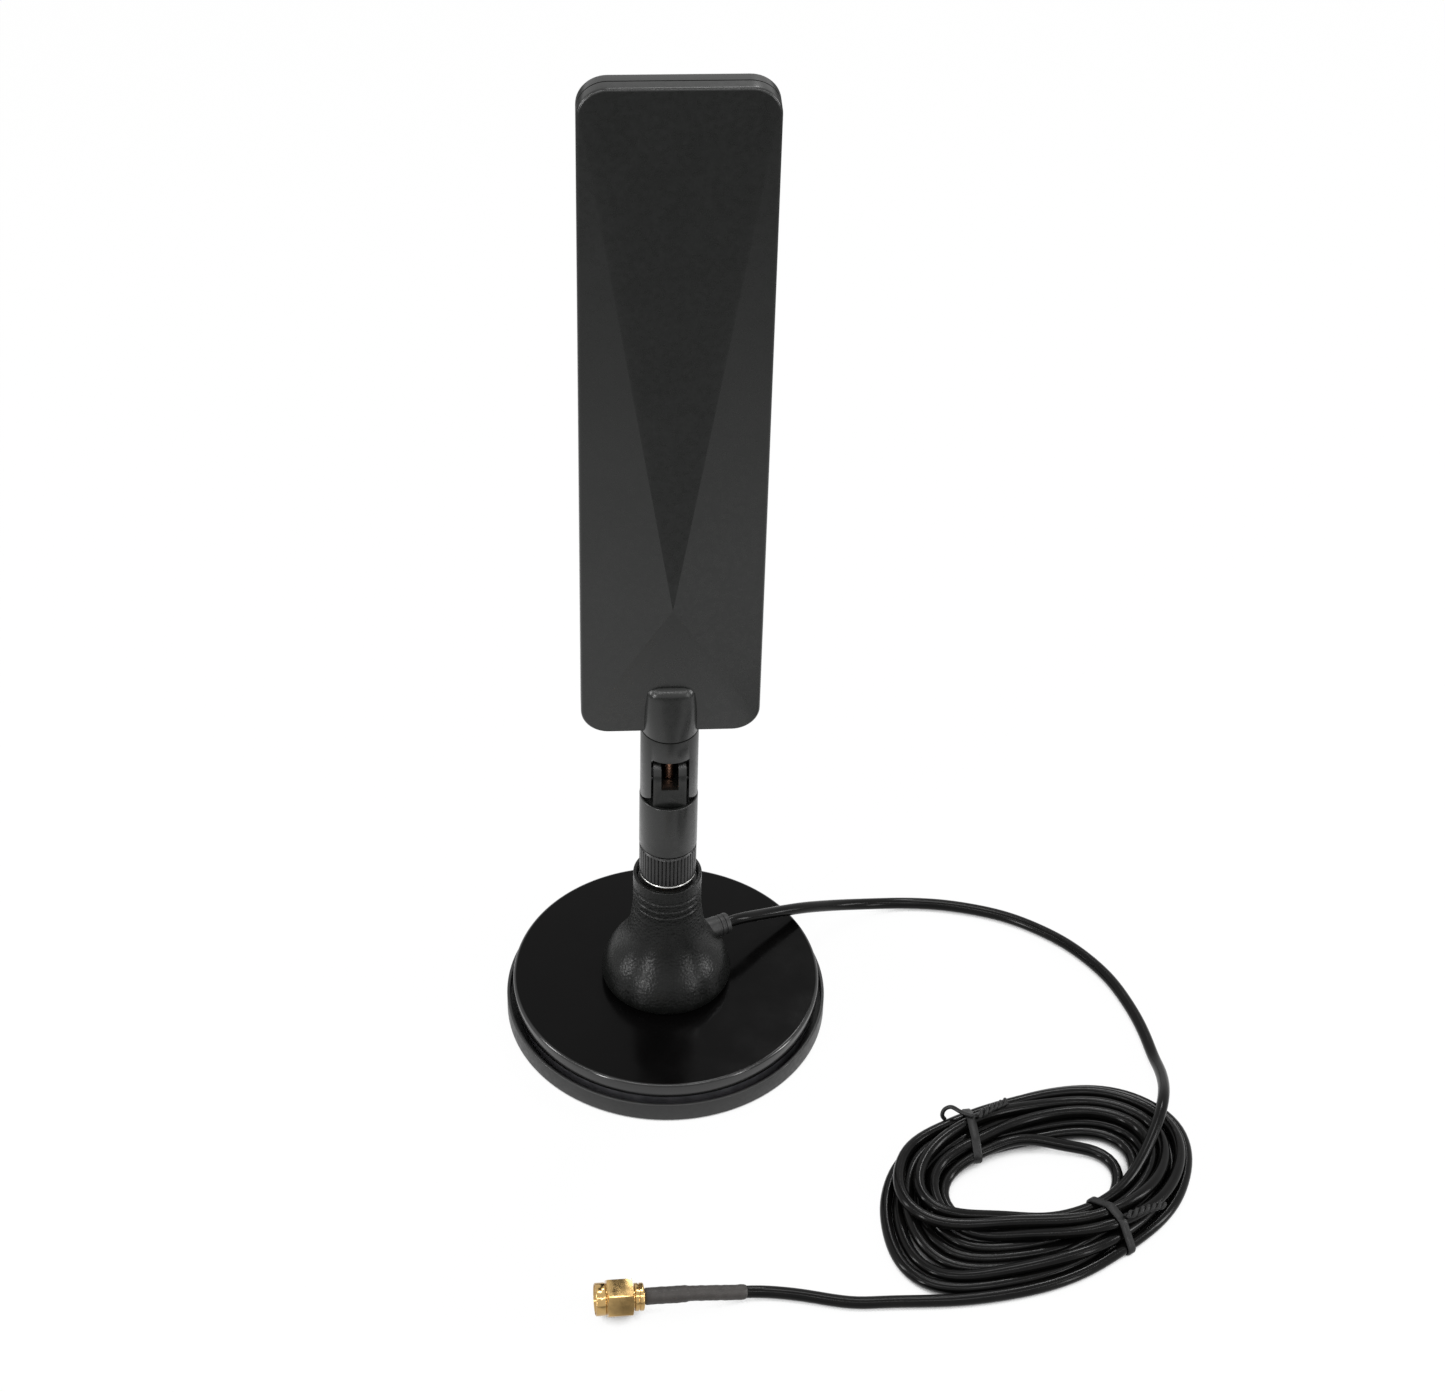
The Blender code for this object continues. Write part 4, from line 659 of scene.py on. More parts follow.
def make_cover():
    radius, skirt = COVER_RADIUS - 0.0004, SKIRT_BOTTOM - 0.0004
    lip = (radius - BASE_INNER) / 2
    outline = [(0.0, COVER_TOP)]
    outline += arc(radius - 0.0007, COVER_TOP - 0.0007, 0.0007, 90, 0, 8)
    outline += arc(radius - lip, skirt + lip, lip, 0, -180, 8)
    outline += [(BASE_INNER, COVER_UNDERSIDE), (0.0, COVER_UNDERSIDE)]
    cover = turned("cover", outline, 160, 40.0)
    combine(cover, screw_rods("hole", 0.0, 0.03, 0.0014), "DIFFERENCE")
    shade(cover, 40.0)
    return cover


def bell_side():
    shape = ((NECK_RADIUS, 0.0240), (0.00855, 0.0198), (0.00945, 0.0156), (0.01115, 0.0118),
             (0.0135, 0.0083), (0.0147, 0.0056), (0.0154, 0.0031), (BELL_RADIUS, 0.0021))
    return [(r, BELL_BOTTOM + z) for r, z in through(shape, 0.0008)]


def make_bell():
    side, wall, bore = bell_side(), 0.0023, 0.0048
    neck = arc(NECK_RADIUS - 0.0003, NECK_TOP - 0.0003, 0.0003, 90, 0, 4)
    for drop in (0.0040, 0.0062, 0.0082):
        middle = NECK_TOP - drop
        neck += [(NECK_RADIUS - deep, middle + rise) for deep, rise in (
            (0, 0.00030), (0.00005, 0.00022), (0.00025, 0.00003),
            (0.00025, -0.00003), (0.00005, -0.00022), (0, -0.00030))]
    foot = arc(BELL_RADIUS - BELL_FOOT_ROUND, BELL_BOTTOM + BELL_FOOT_ROUND, BELL_FOOT_ROUND,
               -12, -90, 8)
    ledge_radius = 0.0110 / math.sqrt(3) + 0.0003
    inside = [(r - wall, z) for r, z in reversed(side[6:-4:3]) if z < LEDGE - wall]
    inside = [(r, z) for r, z in inside if r > ledge_radius]
    inside.insert(0, (BELL_RADIUS - BELL_FOOT_ROUND - wall, BELL_BOTTOM))
    inside += [(ledge_radius, LEDGE - 0.0031), (ledge_radius, LEDGE), (bore, LEDGE),
               (bore, SOCKET_FLOOR), (SOCKET_RADIUS, SOCKET_FLOOR),
               (SOCKET_RADIUS, NECK_TOP - 0.0003), (SOCKET_RADIUS + 0.00008, NECK_TOP - 0.0001),
               (SOCKET_RADIUS + 0.00025, NECK_TOP)]
    bell = turned("bell", neck + side + foot + inside, 96, 25.0)
    combine(bell, screw_rods("post", BELL_BOTTOM, BELL_BOTTOM + 0.0095, 0.0024), "UNION")
    cutters = screw_rods("pilot", BELL_BOTTOM - 0.002, BELL_BOTTOM + 0.0092, 0.0014)
    middle = Vector((0, 0, GLAND_HEIGHT))
    cutters.append(rod("gland_hole", middle + GLAND_DIRECTION * 0.006,
                       middle + GLAND_DIRECTION * 0.02, 0.0028, 48))
    combine(bell, cutters, "DIFFERENCE")
    shade(bell, 25.0)
    return bell


def make_gland():
    length, bore, outer, grooved = 0.0074, 0.0017, 0.0026, 0.00245
    outline = [(bore, 0.0), (outer, 0.0)]
    for groove in (length - 0.0030, length - 0.0018):
        outline += [(outer, groove), (grooved, groove + 0.0002), (grooved, groove + 0.0005),
                    (outer, groove + 0.0007)]
    outline += [*arc(outer - 0.0004, length - 0.0004, 0.0004, 0, 90, 4), (bore, length)]
    gland = turned("gland", outline, 40)
    gland.data.transform(aimed(GLAND_MOUTH - GLAND_DIRECTION * length, GLAND_DIRECTION))
    return gland


def threaded(low, high, radius, depth):
    """How a thread's crest and root shape a radius between two heights."""
    def reach(turn, wanted, height):
        if wanted < radius - depth * 1.01 or not low <= height <= high:
            return wanted
        phase = (height / THREAD_PITCH - turn / (2 * math.pi)) % 1.0
        fade = min(1.0, (height - low) / THREAD_PITCH, (high - height) / (THREAD_PITCH * 0.5))
        crest = 1 - min(1.0, max(0.0, abs(phase - 0.5) * 2.6 - 0.2))
        return radius - depth * (1 - crest) * max(0.0, fade)
    return reach


def stepped(radius, start, end, per_turn):
    """Points along a thread, so many for each turn of it."""
    steps = int(abs(end - start) / (THREAD_PITCH / per_turn))
    return [(radius, start + (end - start) * i / steps) for i in range(steps + 1)]


def make_jack():
    core = 0.0020
    top_bore = JACK_TOP - 0.0022
    low, high = FLANGE_TOP + 0.0006, JACK_TOP
    outline = [(core, 0.0260), (0.0044, 0.0260), (0.0044, SOCKET_FLOOR + 0.0003),
               (0.0062, SOCKET_FLOOR + 0.0003), (0.0064, SOCKET_FLOOR + 0.0005),
               (0.0064, FLANGE_TOP - 0.0002), (0.0062, FLANGE_TOP),
               (THREAD_RADIUS - 0.0004, FLANGE_TOP), (THREAD_RADIUS - 0.0004, low - 0.00001),
               *stepped(THREAD_RADIUS, low, high, 8), (THREAD_RADIUS - 0.0003, JACK_TOP),
               (0.0023, JACK_TOP), (0.0023, top_bore), (core, top_bore)]
    return turned("jack", outline, 64, 25.0,
                  threaded(low, high, THREAD_RADIUS, 0.0003))


def make_seal_and_gap_shade():
    """A dark seal on the jack's flange, put there as painted shade in the gap round the nut."""
    low, high = FLANGE_TOP, FLANGE_TOP + 0.0005
    outline = [(THREAD_RADIUS, low), (SOCKET_RADIUS - 0.0001, low),
               (SOCKET_RADIUS - 0.0001, high - 0.0001), (SOCKET_RADIUS - 0.0002, high),
               (THREAD_RADIUS + 0.0003, high), (THREAD_RADIUS, high - 0.0001)]
    return turned("seal_and_gap_shade", outline, 96, 40.0)


def make_ribbed_nut():
    depth, count = 0.00028, NUT_RIBS
    ribbed = (NUT_BOTTOM + 0.0008, NUT_TOP - 0.0003)

    def reach(turn, radius, height):
        if radius < NUT_RADIUS - 0.0006 or not ribbed[0] <= height <= ribbed[1]:
            return radius
        phase = (turn * count / (2 * math.pi)) % 1.0
        crest = min(1.0, max(0.0, (0.5 - abs(phase - 0.5)) * 5.0))
        ends = min(1.0, (height - ribbed[0]) / 0.0002, (ribbed[1] - height) / 0.0003)
        smooth = crest * crest * (3 - 2 * crest)
        return radius - depth * (1 - smooth) * max(0.0, ends)

    lip, groove = 0.0031, 0.0038
    ring = NUT_TOP - 0.0016
    outline = [(0.0036, NUT_BOTTOM), (NUT_RADIUS - 0.0005, NUT_BOTTOM)]
    outline += arc(NUT_RADIUS - 0.00045, NUT_BOTTOM + 0.0004, 0.0004, -80, 84, 9)
    outline += [(NUT_RADIUS - 0.00045, NUT_BOTTOM + 0.00080)]
    for share in (0.0, 0.012, 0.025, 0.2, 0.5, 0.8, 0.965, 0.985, 1.0):
        height = ribbed[0] + share * (ribbed[1] - ribbed[0])
        outline.append((NUT_RADIUS - (0.00012 if share == 1.0 else 0.0), height))
    outline += arc(NUT_RADIUS - 0.0005, NUT_TOP - 0.00028, 0.00028, 20, 90, 3)
    outline += [(lip, NUT_TOP), (lip, ring + 0.00045), (groove, ring + 0.00045),
                (groove, ring - 0.00045), (lip, ring - 0.00045), (lip, ring - 0.00135)]
    low, high = JACK_TOP - 5 * THREAD_PITCH, ring - 0.00135
    outline += [*stepped(THREAD_RADIUS + 0.0002, high, low, 6), (0.0036, low - 0.0002)]
    return turned("ribbed_nut", outline, count * 8, 25.0, reach)


def make_nut_rim():
    """Bright ring on the nut's lower edge."""
    centre = NUT_RADIUS - 0.00045
    outline = [(centre - 0.0008, NUT_BOTTOM + 0.0002), (centre - 0.0008, NUT_BOTTOM - 0.00003)]
    outline += arc(centre, NUT_BOTTOM + 0.0004, 0.00043, -70, 60, 8)
    outline += [(centre, NUT_BOTTOM + 0.0004)]
    return turned("nut_rim", outline, 96, 40.0)


# Hinge


def make_lower_knuckle():
    rim, dish = LOWER_RADIUS - 0.0008, BARREL_TOP - 0.0011
    outline = [(0.0, BARREL_BOTTOM)]
    outline += arc(LOWER_RADIUS - 0.0005, BARREL_BOTTOM + 0.0005, 0.0005, -90, 0, 6)
    outline += arc(LOWER_RADIUS - 0.00025, BARREL_TOP - 0.00025, 0.00025, 0, 90, 4)
    outline += arc(rim + 0.0001, BARREL_TOP - 0.0001, 0.0001, 90, 180, 2)
    outline += [(rim - 0.0004, dish), (0.0, dish)]
    knuckle = turned("knuckle_lower", outline, 96)
    base = dish - 0.0005
    prong = [(-TONGUE_RADIUS, base), (TONGUE_RADIUS, base)]
    prong += arc(0.0, PIVOT.z, TONGUE_RADIUS, 0, 180, 40)
    wide = TONGUE_HALF + 0.0009
    flare = [(-wide, base), (wide, base), (wide, dish + 0.0001)]
    flare += [(wide - 0.0009 * math.sin(t), dish + 0.0001 + 0.0021 * (1 - math.cos(t)))
              for t in (math.radians(a) for a in (18, 36, 54, 72, 89))]
    flare += [(-x, z) for x, z in reversed(flare[2:])]
    tools = [
        prism("tongue", prong, -TONGUE_HALF, TONGUE_HALF, "X"),
        prism("tongue_foot", flare, -0.0046, 0.0046, "Y"),
        rod("studs", PIVOT - Vector((0.0053, 0, 0)), PIVOT + Vector((0.0053, 0, 0)), 0.0019),
    ]
    combine(knuckle, tools, "UNION")
    low, deep = PIVOT.z - SLOT_DROP, TONGUE_RADIUS + 0.002
    slot = [(-deep, low), (deep, low), (deep, PIVOT.z + deep), (-deep, PIVOT.z + deep)]
    head = [(0.0, BARREL_BOTTOM - 0.002), (0.0032, BARREL_BOTTOM - 0.002), (0.0032, 0.0558),
            (0.0049, 0.0558), (0.0049, 0.0578), (0.0014, 0.0578), (0.0014, low + 0.002),
            (0.0, low + 0.002)]
    combine(knuckle, [prism("slot", slot, -SLOT_HALF, SLOT_HALF, "X"),
                      turned("head_cavity", head, sides=48)], "DIFFERENCE")
    return softened(knuckle, 0.00022, 3)


def make_upper_knuckle():
    low = PIVOT.z - EAR_RADIUS
    outline = [(0.0, low - 0.0005), (UPPER_RADIUS, low - 0.0005), (UPPER_RADIUS, UPPER_TOP),
               (SPIGOT_RADIUS, UPPER_TOP), (SPIGOT_RADIUS, SPIGOT_TOP), (0.0, SPIGOT_TOP)]
    knuckle = turned("knuckle_upper", outline, 96)
    wide = UPPER_RADIUS + 0.002
    below = [(-wide, PIVOT.z)] + arc(0.0, PIVOT.z, EAR_RADIUS, 180, 360, 48)
    below += [(wide, PIVOT.z), (wide, low - 0.002), (-wide, low - 0.002)]
    window = [(-wide, low - 0.002), (BACK_WALL, low - 0.002), (BACK_WALL, WINDOW_TOP),
              (-wide, WINDOW_TOP)]
    reach = Vector((0.0056, 0, 0))
    combine(knuckle, [
        prism("ear_round", below, -wide, wide, "X"),
        prism("window", window, -WINDOW_HALF, WINDOW_HALF, "X"),
        rod("stud_holes", PIVOT - reach, PIVOT + reach, 0.0021),
        rod("coax_hole", (0, 0, WINDOW_TOP - 0.002), (0, 0, SPIGOT_TOP + 0.002), 0.0014),
    ], "DIFFERENCE")
    return softened(knuckle, 0.00010, 2)


def make_feed_coax():
    heights = np.linspace(0.0578, 0.1015, 120)
    return tube("feed_coax", [(0, 0, z) for z in heights], 0.0010, 24)


# Blade


def rounded_rectangle(half, low, high, corner, steps):
    side = half - corner
    return (arc(side, high - corner, corner, 0, 90, steps)
            + arc(-side, high - corner, corner, 90, 180, steps)
            + arc(-side, low + corner, corner, 180, 270, steps)
            + arc(side, low + corner, corner, 270, 360, steps))


def lofted(name, rings, tip):
    bm = bmesh.new()
    loops = [[bm.verts.new(point) for point in ring] for ring in rings]
    stitched(bm, loops)
    if not tip:
        capped(bm, loops)
        return piece_from(name, bm)
    bm.faces.new(list(reversed(loops[0])))
    top, last = bm.verts.new(tip), loops[-1]
    for i in range(len(last)):
        bm.faces.new((last[i], last[(i + 1) % len(last)], top))
    return piece_from(name, bm)


def blade_rings(side, wall, rise, steps):
    half = BLADE_THICKNESS / 2
    edge = BLADE_EDGE if wall == 0 else BLADE_EDGE / 2
    levels = [(0.0, 0.00015 if wall == 0 else -0.002)]
    levels += [(edge - a, half - wall - edge + b) for a, b in arc(0, 0, edge, 0, 90, 6)]
    rings = []
    for inset, depth in levels:
        inset += wall
        outline = rounded_rectangle(BLADE_HALF - inset, BLADE_BOTTOM + inset, BLADE_TOP - inset,
                                    BLADE_CORNER - inset, steps)
        rings.append([(x, side * depth, z) for x, z in outline])
    return rings, (0.0, side * (half - wall + rise), APEX_HEIGHT) if rise else None


def make_blade_half(name, side, rise):
    rings, tip = blade_rings(side, 0.0, rise, 14)
    shell = lofted(name, rings, tip)
    bottom, top = 0.0902, 0.0902 + 0.0148
    crown = [(0.0059 * math.cos(t) ** 0.6, top - 0.0036 * (1 - math.sin(t) ** 0.8))
             for t in (math.pi / 2 * i / 12 for i in range(12))]

    def squarer(turn, radius, height):
        power = 2 + 1.4 * min(1.0, (height - bottom) / 0.008)
        c, s = abs(math.cos(turn)), abs(math.sin(turn))
        return radius * (c**power + s**power) ** (-1 / power)

    sides = [(0.00655 - 0.00063 * t, bottom + 0.0115 * t) for t in (0.0, 0.25, 0.5, 0.75)]
    boss = turned("boss", [(0.0, bottom), *sides, *crown, (0.0, top)], sides=96, reach=squarer)
    combine(shell, [boss], "UNION")
    far = 0.05
    beyond = [(-side * far, 0.0), (side * 0.00015, 0.0), (side * 0.00015, 0.4), (-side * far, 0.4)]
    inner, inner_tip = blade_rings(side, BLADE_WALL, rise, 6)
    combine(shell, [
        prism("parting", beyond, -far, far, "X"),
        lofted("hollow", inner, inner_tip),
        rod("spigot_hole", (0, 0, 0.088), (0, 0, SPIGOT_TOP + 0.0003), SPIGOT_RADIUS + 0.0002, 64),
        rod("coax_way", (0, 0, bottom), (0, 0, top + 0.002), 0.0014, 32),
    ], "DIFFERENCE")
    posts = []
    apex, length = APEX_HEIGHT - BLADE_BOTTOM, BLADE_TOP - BLADE_BOTTOM
    for lift in (0.0300, 0.1350):
        span = apex if lift < apex else length - apex
        deep = (BLADE_THICKNESS - BLADE_WALL) / 2 + rise * (1 - abs(lift - apex) / span)
        posts.append(rod(f"board_post_{lift}", (0, side * 0.0007, BLADE_BOTTOM + lift),
                         (0, side * deep, BLADE_BOTTOM + lift), 0.0020, 24))
    combine(shell, posts, "UNION")
    ridge_shading(shell, side, rise)
    return shell


def ridge_shading(shell, side, rise):
    """Smooth walls and corners, with the four facets' ridges left crisp."""
    shade(shell, 35.0)
    if not rise:
        return
    mesh = shell.data
    tip = Vector((0, side * (BLADE_THICKNESS / 2 + rise), APEX_HEIGHT))
    bm = bmesh.new()
    bm.from_mesh(mesh)
    for edge in bm.edges:
        if any((v.co - tip).length < 1e-5 for v in edge.verts) and len(edge.link_faces) == 2:
            edge.smooth = edge.calc_face_angle() < math.radians(0.9)
    bm.to_mesh(mesh)
    bm.free()


# Lead's plug, modelled along Z from its mouth and then laid down


def hexagon(across):
    corner = across / math.sqrt(3)
    return [(corner * math.cos(math.radians(60 * i)), corner * math.sin(math.radians(60 * i)))
            for i in range(6)]


def make_plug_nut():
    length, across, chamfer = 0.0083, 0.0080, 0.0006
    front, front_end, corner = 0.00365, 0.0025, across / math.sqrt(3)
    nut = prism("plug_hex", hexagon(across), 0.0, length, "Z")
    nut.data.transform(Matrix.Rotation(math.radians(-16), 4, "Z"))
    slope = (0.002 + chamfer) * 0.5
    limit = [(0.0, 0.0), *arc(front - 0.0002, 0.0002, 0.0002, -90, 0, 3),
             *arc(front - 0.00015, front_end - 0.00045, 0.00015, 0, 90, 2),
             (front - 0.0002, front_end - 0.0002), (front - 0.0002, front_end),
             (corner - chamfer, front_end), (corner + 0.002, front_end + slope),
             (corner + 0.002, length - slope), (corner - chamfer, length), (0.0, length)]
    combine(nut, [turned("limit", limit, sides=96)], "INTERSECT")
    radius, lip, groove = THREAD_RADIUS + 0.0002, 0.0025, 0.0032
    low, high = PLUG_RING - 0.00135, length - 0.0003
    bore = [(0.0, -0.002), (radius, -0.002), *stepped(radius, 0.0, low, 6),
            (lip, low + 0.00001), (lip, PLUG_RING - 0.00060), (groove, PLUG_RING - 0.00060),
            (groove, high), (lip, high), (lip, length + 0.002), (0.0, length + 0.002)]
    combine(nut, [turned("bore", bore, sides=64)], "DIFFERENCE")
    softened(nut, 0.00018, 3)
    nut.data.transform(PLUG)
    return nut


def make_plug_shell():
    face, collar, end = 0.0026, 0.0087, 0.0108
    bore, groove, outer, ferrule, core = 0.0018, 0.0029, 0.0031, 0.00145, 0.0008
    low, high = PLUG_RING - 0.00045, PLUG_RING + 0.00045
    outline = [(bore, face), (0.0021, face), (0.0021, low), (bore, low), (bore, high),
               (0.0023, high), (0.0023, collar),
               *arc(outer - 0.0002, collar + 0.0002, 0.0002, -90, 0, 3),
               (outer, 0.0095), (groove, 0.0096), (groove, 0.0098), (outer, 0.0099),
               (outer, 0.0104), *arc(outer - 0.0003, end - 0.0003, 0.0003, 0, 90, 3),
               (ferrule, end), (ferrule, FERRULE_END), (core, FERRULE_END), (core, 0.0061),
               (bore, 0.0061)]
    body = turned("plug_shell", outline, 64)
    body.data.transform(PLUG)
    return body


def make_sleeve():
    """Heat-shrink, drawn tight over the ferrule's step and slightly wavy."""
    start = 0.0110
    knots = [PLUG @ Vector((0, 0, z)) for z in (start, (start + FERRULE_END) / 2, FERRULE_END)]
    path = through([*knots, *SLEEVE_ROUTE], 0.0004)
    along = distances(path)
    step = np.clip((along - 0.0088) / 0.0012, 0, 1)
    step = step * step * (3 - 2 * step)
    outer = 0.00190 * (1 - step) + 0.00170 * step
    outer += 0.00002 * np.sin(along * 2100) + 0.00002 * np.sin(along * 3500 + 1)
    ends = np.minimum(along, along[-1] - along)
    outer -= 0.00018 * np.clip(1 - ends / 0.0006, 0, 1) ** 2
    inner = 0.00160 * (1 - step) + 0.00148 * step
    bm = bmesh.new()
    loops = []
    route = [Vector(point) for point in path]
    forward = range(len(route))
    for radii, wave, order in ((outer, 0.00002, forward), (inner, 0.0, reversed(forward))):
        for k in order:
            loops.append(level_loop(
                bm, route, k, 32,
                lambda turn: float(radii[k]) + wave * math.sin(3 * turn + float(along[k]) * 900)))
    stitched(bm, loops + loops[:1])
    return piece_from("sleeve", bm, 50.0)


# Ties round the coil

STRAND_RADIUS = 0.0005


def hull(points):
    points = sorted(set(map(tuple, points)))

    def half(points):
        chain = []
        for p in points:
            while len(chain) > 1 and ((chain[-1][0] - chain[-2][0]) * (p[1] - chain[-2][1])
                                      <= (chain[-1][1] - chain[-2][1]) * (p[0] - chain[-2][0])):
                chain.pop()
            chain.append(p)
        return chain[:-1]

    return half(points) + half(points[::-1])


def make_tie(name, path, place, twist, loop=None):
    """A strap drawn round the strands that cross a line on the floor, with a twisted end."""
    outer, inner = np.array(place[0]), np.array(place[1])
    across = (inner - outer) / np.linalg.norm(inner - outer)
    normal = np.array([across[1], -across[0]])
    beside = (path[:, :2] - outer) @ normal
    cuts = []
    for k in np.nonzero(beside[:-1] * beside[1:] <= 0)[0]:
        share = beside[k] / (beside[k] - beside[k + 1])
        point = path[k] + share * (path[k + 1] - path[k])
        u = (point[:2] - outer) @ across
        if -0.004 < u < np.linalg.norm(inner - outer) + 0.004:
            cuts.append((u, point[2]))
    reach = CABLE_RADIUS + 0.0002
    spots = [(u + reach * math.cos(t), z + reach * math.sin(t))
             for u, z in cuts for t in np.linspace(0, 2 * math.pi, 20, endpoint=False)]
    section = np.array(hull([(round(u, 7), round(max(z, 0.0002), 7)) for u, z in spots]))
    section = evenly(np.vstack([section, section[:1]]), 0.0006)[:-1]
    count = len(section)
    ahead = np.roll(section, -1, 0) - np.roll(section, 1, 0)
    away = np.stack([ahead[:, 1], -ahead[:, 0]], 1)
    away /= np.linalg.norm(away, axis=1, keepdims=True)
    half, thick = 0.0010, 0.00045
    rim = [(-half, 0.0), (-half, thick * 0.6), (-half * 0.75, thick), (half * 0.75, thick),
           (half, thick * 0.6), (half, 0.0)]
    bm = bmesh.new()
    loops = []
    for k in range(count):
        ring = []
        for w, t in rim:
            u, z = section[k] + away[k] * t
            flat = outer + across * u + normal * w
            ring.append(bm.verts.new((flat[0], flat[1], max(z, 0.00003))))
        loops.append(ring)
    stitched(bm, loops + loops[:1])
    route = [Vector(point) for point in through(twist, 0.0003)]
    for phase in (0.0, math.pi):
        strand = []
        for k, point in enumerate(route):
            forward = heading(route, k)
            side = forward.cross(UP).normalized()
            other = side.cross(forward)
            turn = phase + k * 0.55
            strand.append(point + STRAND_RADIUS * (math.cos(turn) * side + math.sin(turn) * other))
        add_strand(bm, strand)
    if loop:
        add_strand(bm, [Vector(point) for point in through(loop, 0.0003)])
    return piece_from(name, bm, 40.0)


def add_strand(bm, path):
    loops = []
    for k in range(len(path)):
        reach = STRAND_RADIUS * (0.6 if k in (0, len(path) - 1) else 1.0)
        loops.append(level_loop(bm, path, k, 10, lambda turn: reach))
    stitched(bm, loops)
    capped(bm, loops)


# Assembly

path = lead_path()
lead = place_piece(tube("lead", path, CABLE_RADIUS), "cable_jacket",
                   "stand", "cable_lead", "cable_coil", "cable_tail")
tie_back = place_piece(make_tie(
    "tie_back", path, TIES[0],
    [(0.0705, -0.0475, 0.0086), (0.0724, -0.0462, 0.0090), (0.0742, -0.0445, 0.0084),
     (0.0762, -0.0428, 0.0074), (0.0780, -0.0412, 0.0066)],
    [(0.0693, -0.0472, 0.0084), (0.0667, -0.0458, 0.0084), (0.0647, -0.0436, 0.0078),
     (0.0632, -0.0431, 0.0065), (0.0627, -0.0436, 0.0050), (0.0635, -0.0440, 0.0038)],
), "tie_plastic", "stand", "tie_upper")
tie_front = place_piece(make_tie(
    "tie_front", path, TIES[1],
    [(0.1003, -0.0785, 0.0088), (0.1032, -0.0772, 0.0086), (0.1062, -0.0756, 0.0078),
     (0.1081, -0.0747, 0.0072), (0.1100, -0.0736, 0.0066)],
), "tie_plastic", "stand", "tie_lower")
sleeve = place_piece(make_sleeve(), "shrink_sleeve", "stand", "plug_sleeve")
plug_shell = place_piece(make_plug_shell(), "gold_plate", "stand", "plug_body")
plug_hex = place_piece(make_plug_nut(), "gold_plate", "plug_nut", "plug_nut")
float(distances(path)[-1])

for piece, *where in (
    (make_boot(), "boot_rubber", "stand", "base_boot"),
    (make_cover(), "cover_lacquer", "stand", "base_cover"),
    (make_bell(), "bell_finish", "stand", "stand_bell"),
    (make_gland(), "boot_rubber", "stand", "cable_gland"),
    (make_jack(), "gold_plate", "stand", "stand_jack"),
    # The dark seal, also painted shade in the gap round the nut
    (make_seal_and_gap_shade(), "boot_rubber", "stand"),
    (make_ribbed_nut(), "black_metal", "coupling_nut", "coupling_nut"),
    (make_nut_rim(), "screw_steel", "coupling_nut"),
    (make_lower_knuckle(), "shell_plastic", "lower_knuckle", "lower_knuckle"),
    (make_upper_knuckle(), "shell_plastic", "paddle", "upper_knuckle"),
    (make_blade_half("blade_front", -1, APEX_RISE), "shell_plastic", "paddle", "front_shell"),
    (make_blade_half("blade_back", 1, 0.0), "shell_plastic", "paddle", "back_shell"),
):
    place_piece(piece, *where)
coax = make_feed_coax()
coax.data.materials.append(FINISHES["copper_braid"])
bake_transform(coax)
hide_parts("feed_coax_lower", "feed_coax_upper")

# The solids that no piece replaces wear the finish of their slot
slot_of = {part["node"]: part["material_slot"] for part in frame["record"]["subparts"]}
for node, carried in frame["nodes"].items():
    finish = FINISHES[slot_of[node]]
    if carried.data.materials:
        for index in range(len(carried.data.materials)):
            carried.data.materials[index] = finish
    else:
        carried.data.materials.append(finish)


# Floor, surroundings and lamps


def make_world(ambient):
    """White to the camera, to gloss and to glass, and a soft light to everything else."""
    world = bpy.data.worlds.new("studio")
    tree = Tree(world)
    rays = tree.add("LightPath").outputs
    seen = tree.math("MAXIMUM", rays["Is Camera Ray"], rays["Is Glossy Ray"])
    seen = tree.math("MAXIMUM", seen, rays["Is Transmission Ray"])
    background = tree.nodes["Background"].inputs
    background["Color"].default_value = (1, 1, 1, 1)
    tree.feed(background["Strength"], tree.between(seen, 0.0, 1.0, ambient, 1.0))
    bpy.context.scene.world = world


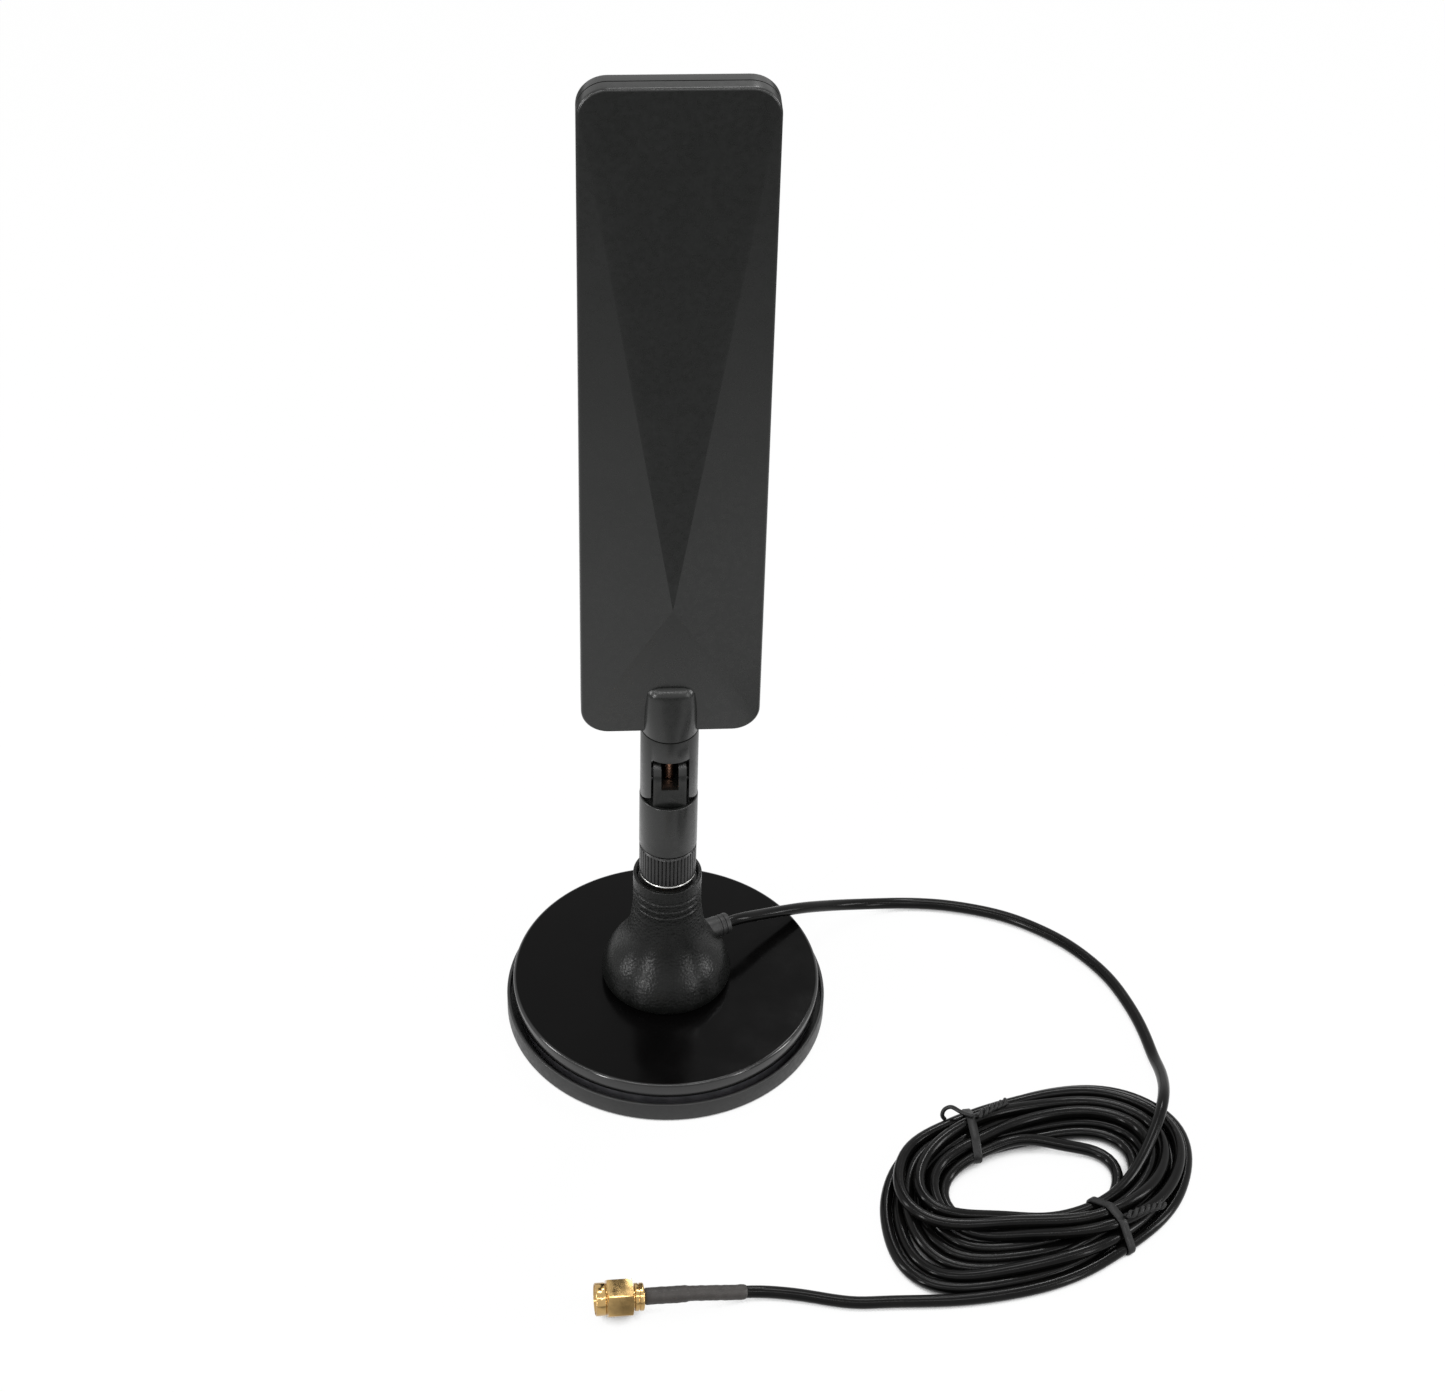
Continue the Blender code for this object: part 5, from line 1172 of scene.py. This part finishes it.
def make_floor(glow, strength, lit, dim):
    """White to the camera. To gloss, a painted pool of light that fades away from the object."""
    bm = bmesh.new()
    half = 3.0
    bm.faces.new([bm.verts.new((x, y, -0.0003))
                  for x, y in ((-half, -half), (half, -half), (half, half), (-half, half))])
    floor = piece_from("floor", bm)
    material = bpy.data.materials.new("floor")
    floor.data.materials.append(material)
    tree = Tree(material)
    tree.nodes.clear()

    def rise(source, low, high):
        return tree.between(source, low, high, 0.0, 1.0, ease="SMOOTHSTEP")

    rays = tree.add("LightPath").outputs
    place = tree.add("NewGeometry").outputs["Position"]
    right, back, _ = tree.add("SeparateXYZ", {0: place}).outputs
    # Painted pool of light: the glow that gloss sees fades with distance from the object
    fade = tree.between(tree.length(place), lit, dim, 1.0, 0.0, ease="SMOOTHSTEP")
    # Painted shade: gloss sees less of the floor in a wedge in front of the object
    slant = tree.math("DIVIDE", right, tree.math("MULTIPLY", back, -1.0))
    beside = rise(tree.math("ABSOLUTE", tree.math("SUBTRACT", slant, 0.077)), 0.10, 0.24)
    outside = tree.math("MAXIMUM", beside, rise(back, -0.15, -0.09))
    sent_on = tree.math("MAXIMUM", rays["Is Glossy Ray"], rays["Is Transmission Ray"])
    reflected = tree.math("MULTIPLY", tree.math("MULTIPLY", sent_on, fade), outside)
    seen = tree.math("MAXIMUM", rays["Is Camera Ray"], reflected)
    # Painted shade in narrow clefts, as between the lead's strands, found by ambient occlusion
    open_sky = tree.add("AmbientOcclusion", {"Distance": 0.012}, samples=8).outputs["AO"]
    share = tree.math("MULTIPLY", tree.math("MULTIPLY", seen, rise(open_sky, 0.15, 0.42)), glow)
    plain = tree.add("BsdfDiffuse", {"Color": (0.25, 0.25, 0.25, 1)}).outputs[0]
    shine = tree.add("Emission", {"Strength": strength}).outputs[0]
    mixed = tree.add("MixShader", enumerate((share, plain, shine))).outputs[0]
    tree.add("OutputMaterial", {"Surface": mixed})


def make_lamp(name, azimuth, elevation, distance, size, level):
    """An area lamp aimed at the object. Level is how bright it makes a white face turned to it."""
    target = Vector((0.01, -0.02, 0.10))
    turn, lift = math.radians(azimuth), math.radians(elevation)
    place = target + distance * Vector((math.sin(turn) * math.cos(lift),
                                        -math.cos(turn) * math.cos(lift), math.sin(lift)))
    lamp = bpy.data.objects.new(name, bpy.data.lights.new(name, "AREA"))
    bpy.context.scene.collection.objects.link(lamp)
    lamp.data.shape = "RECTANGLE"
    lamp.data.size, lamp.data.size_y = size
    lamp.data.energy = level * (math.pi * distance) ** 2
    lamp.location = place
    lamp.rotation_euler = (target - place).to_track_quat("-Z", "Y").to_euler()


make_world(0.30)
make_floor(0.85, 1.135, 0.14, 0.42)
for lamp in (
    ("front", -2, 52, 1.00, (0.75, 0.05), 0.14),
    ("front_left", -46, 46, 1.00, (0.75, 0.05), 0.14),
    ("front_right", 43, 46, 1.00, (0.75, 0.05), 0.12),
    ("low_left", -44, 9, 1.00, (0.12, 0.44), 0.30),
    ("low_right", 46, 9, 1.00, (0.10, 0.44), 0.16),
    ("left", -84, 16, 0.90, (0.12, 0.50), 0.34),
    ("right", 82, 16, 0.90, (0.12, 0.50), 0.32),
    ("above", 160, 76, 1.10, (0.30, 0.30), 0.20),
    ("behind", 156, 50, 1.02, (0.12, 0.12), 0.16),
):
    make_lamp(*lamp)
bpy.context.scene.view_settings.view_transform = "Standard"
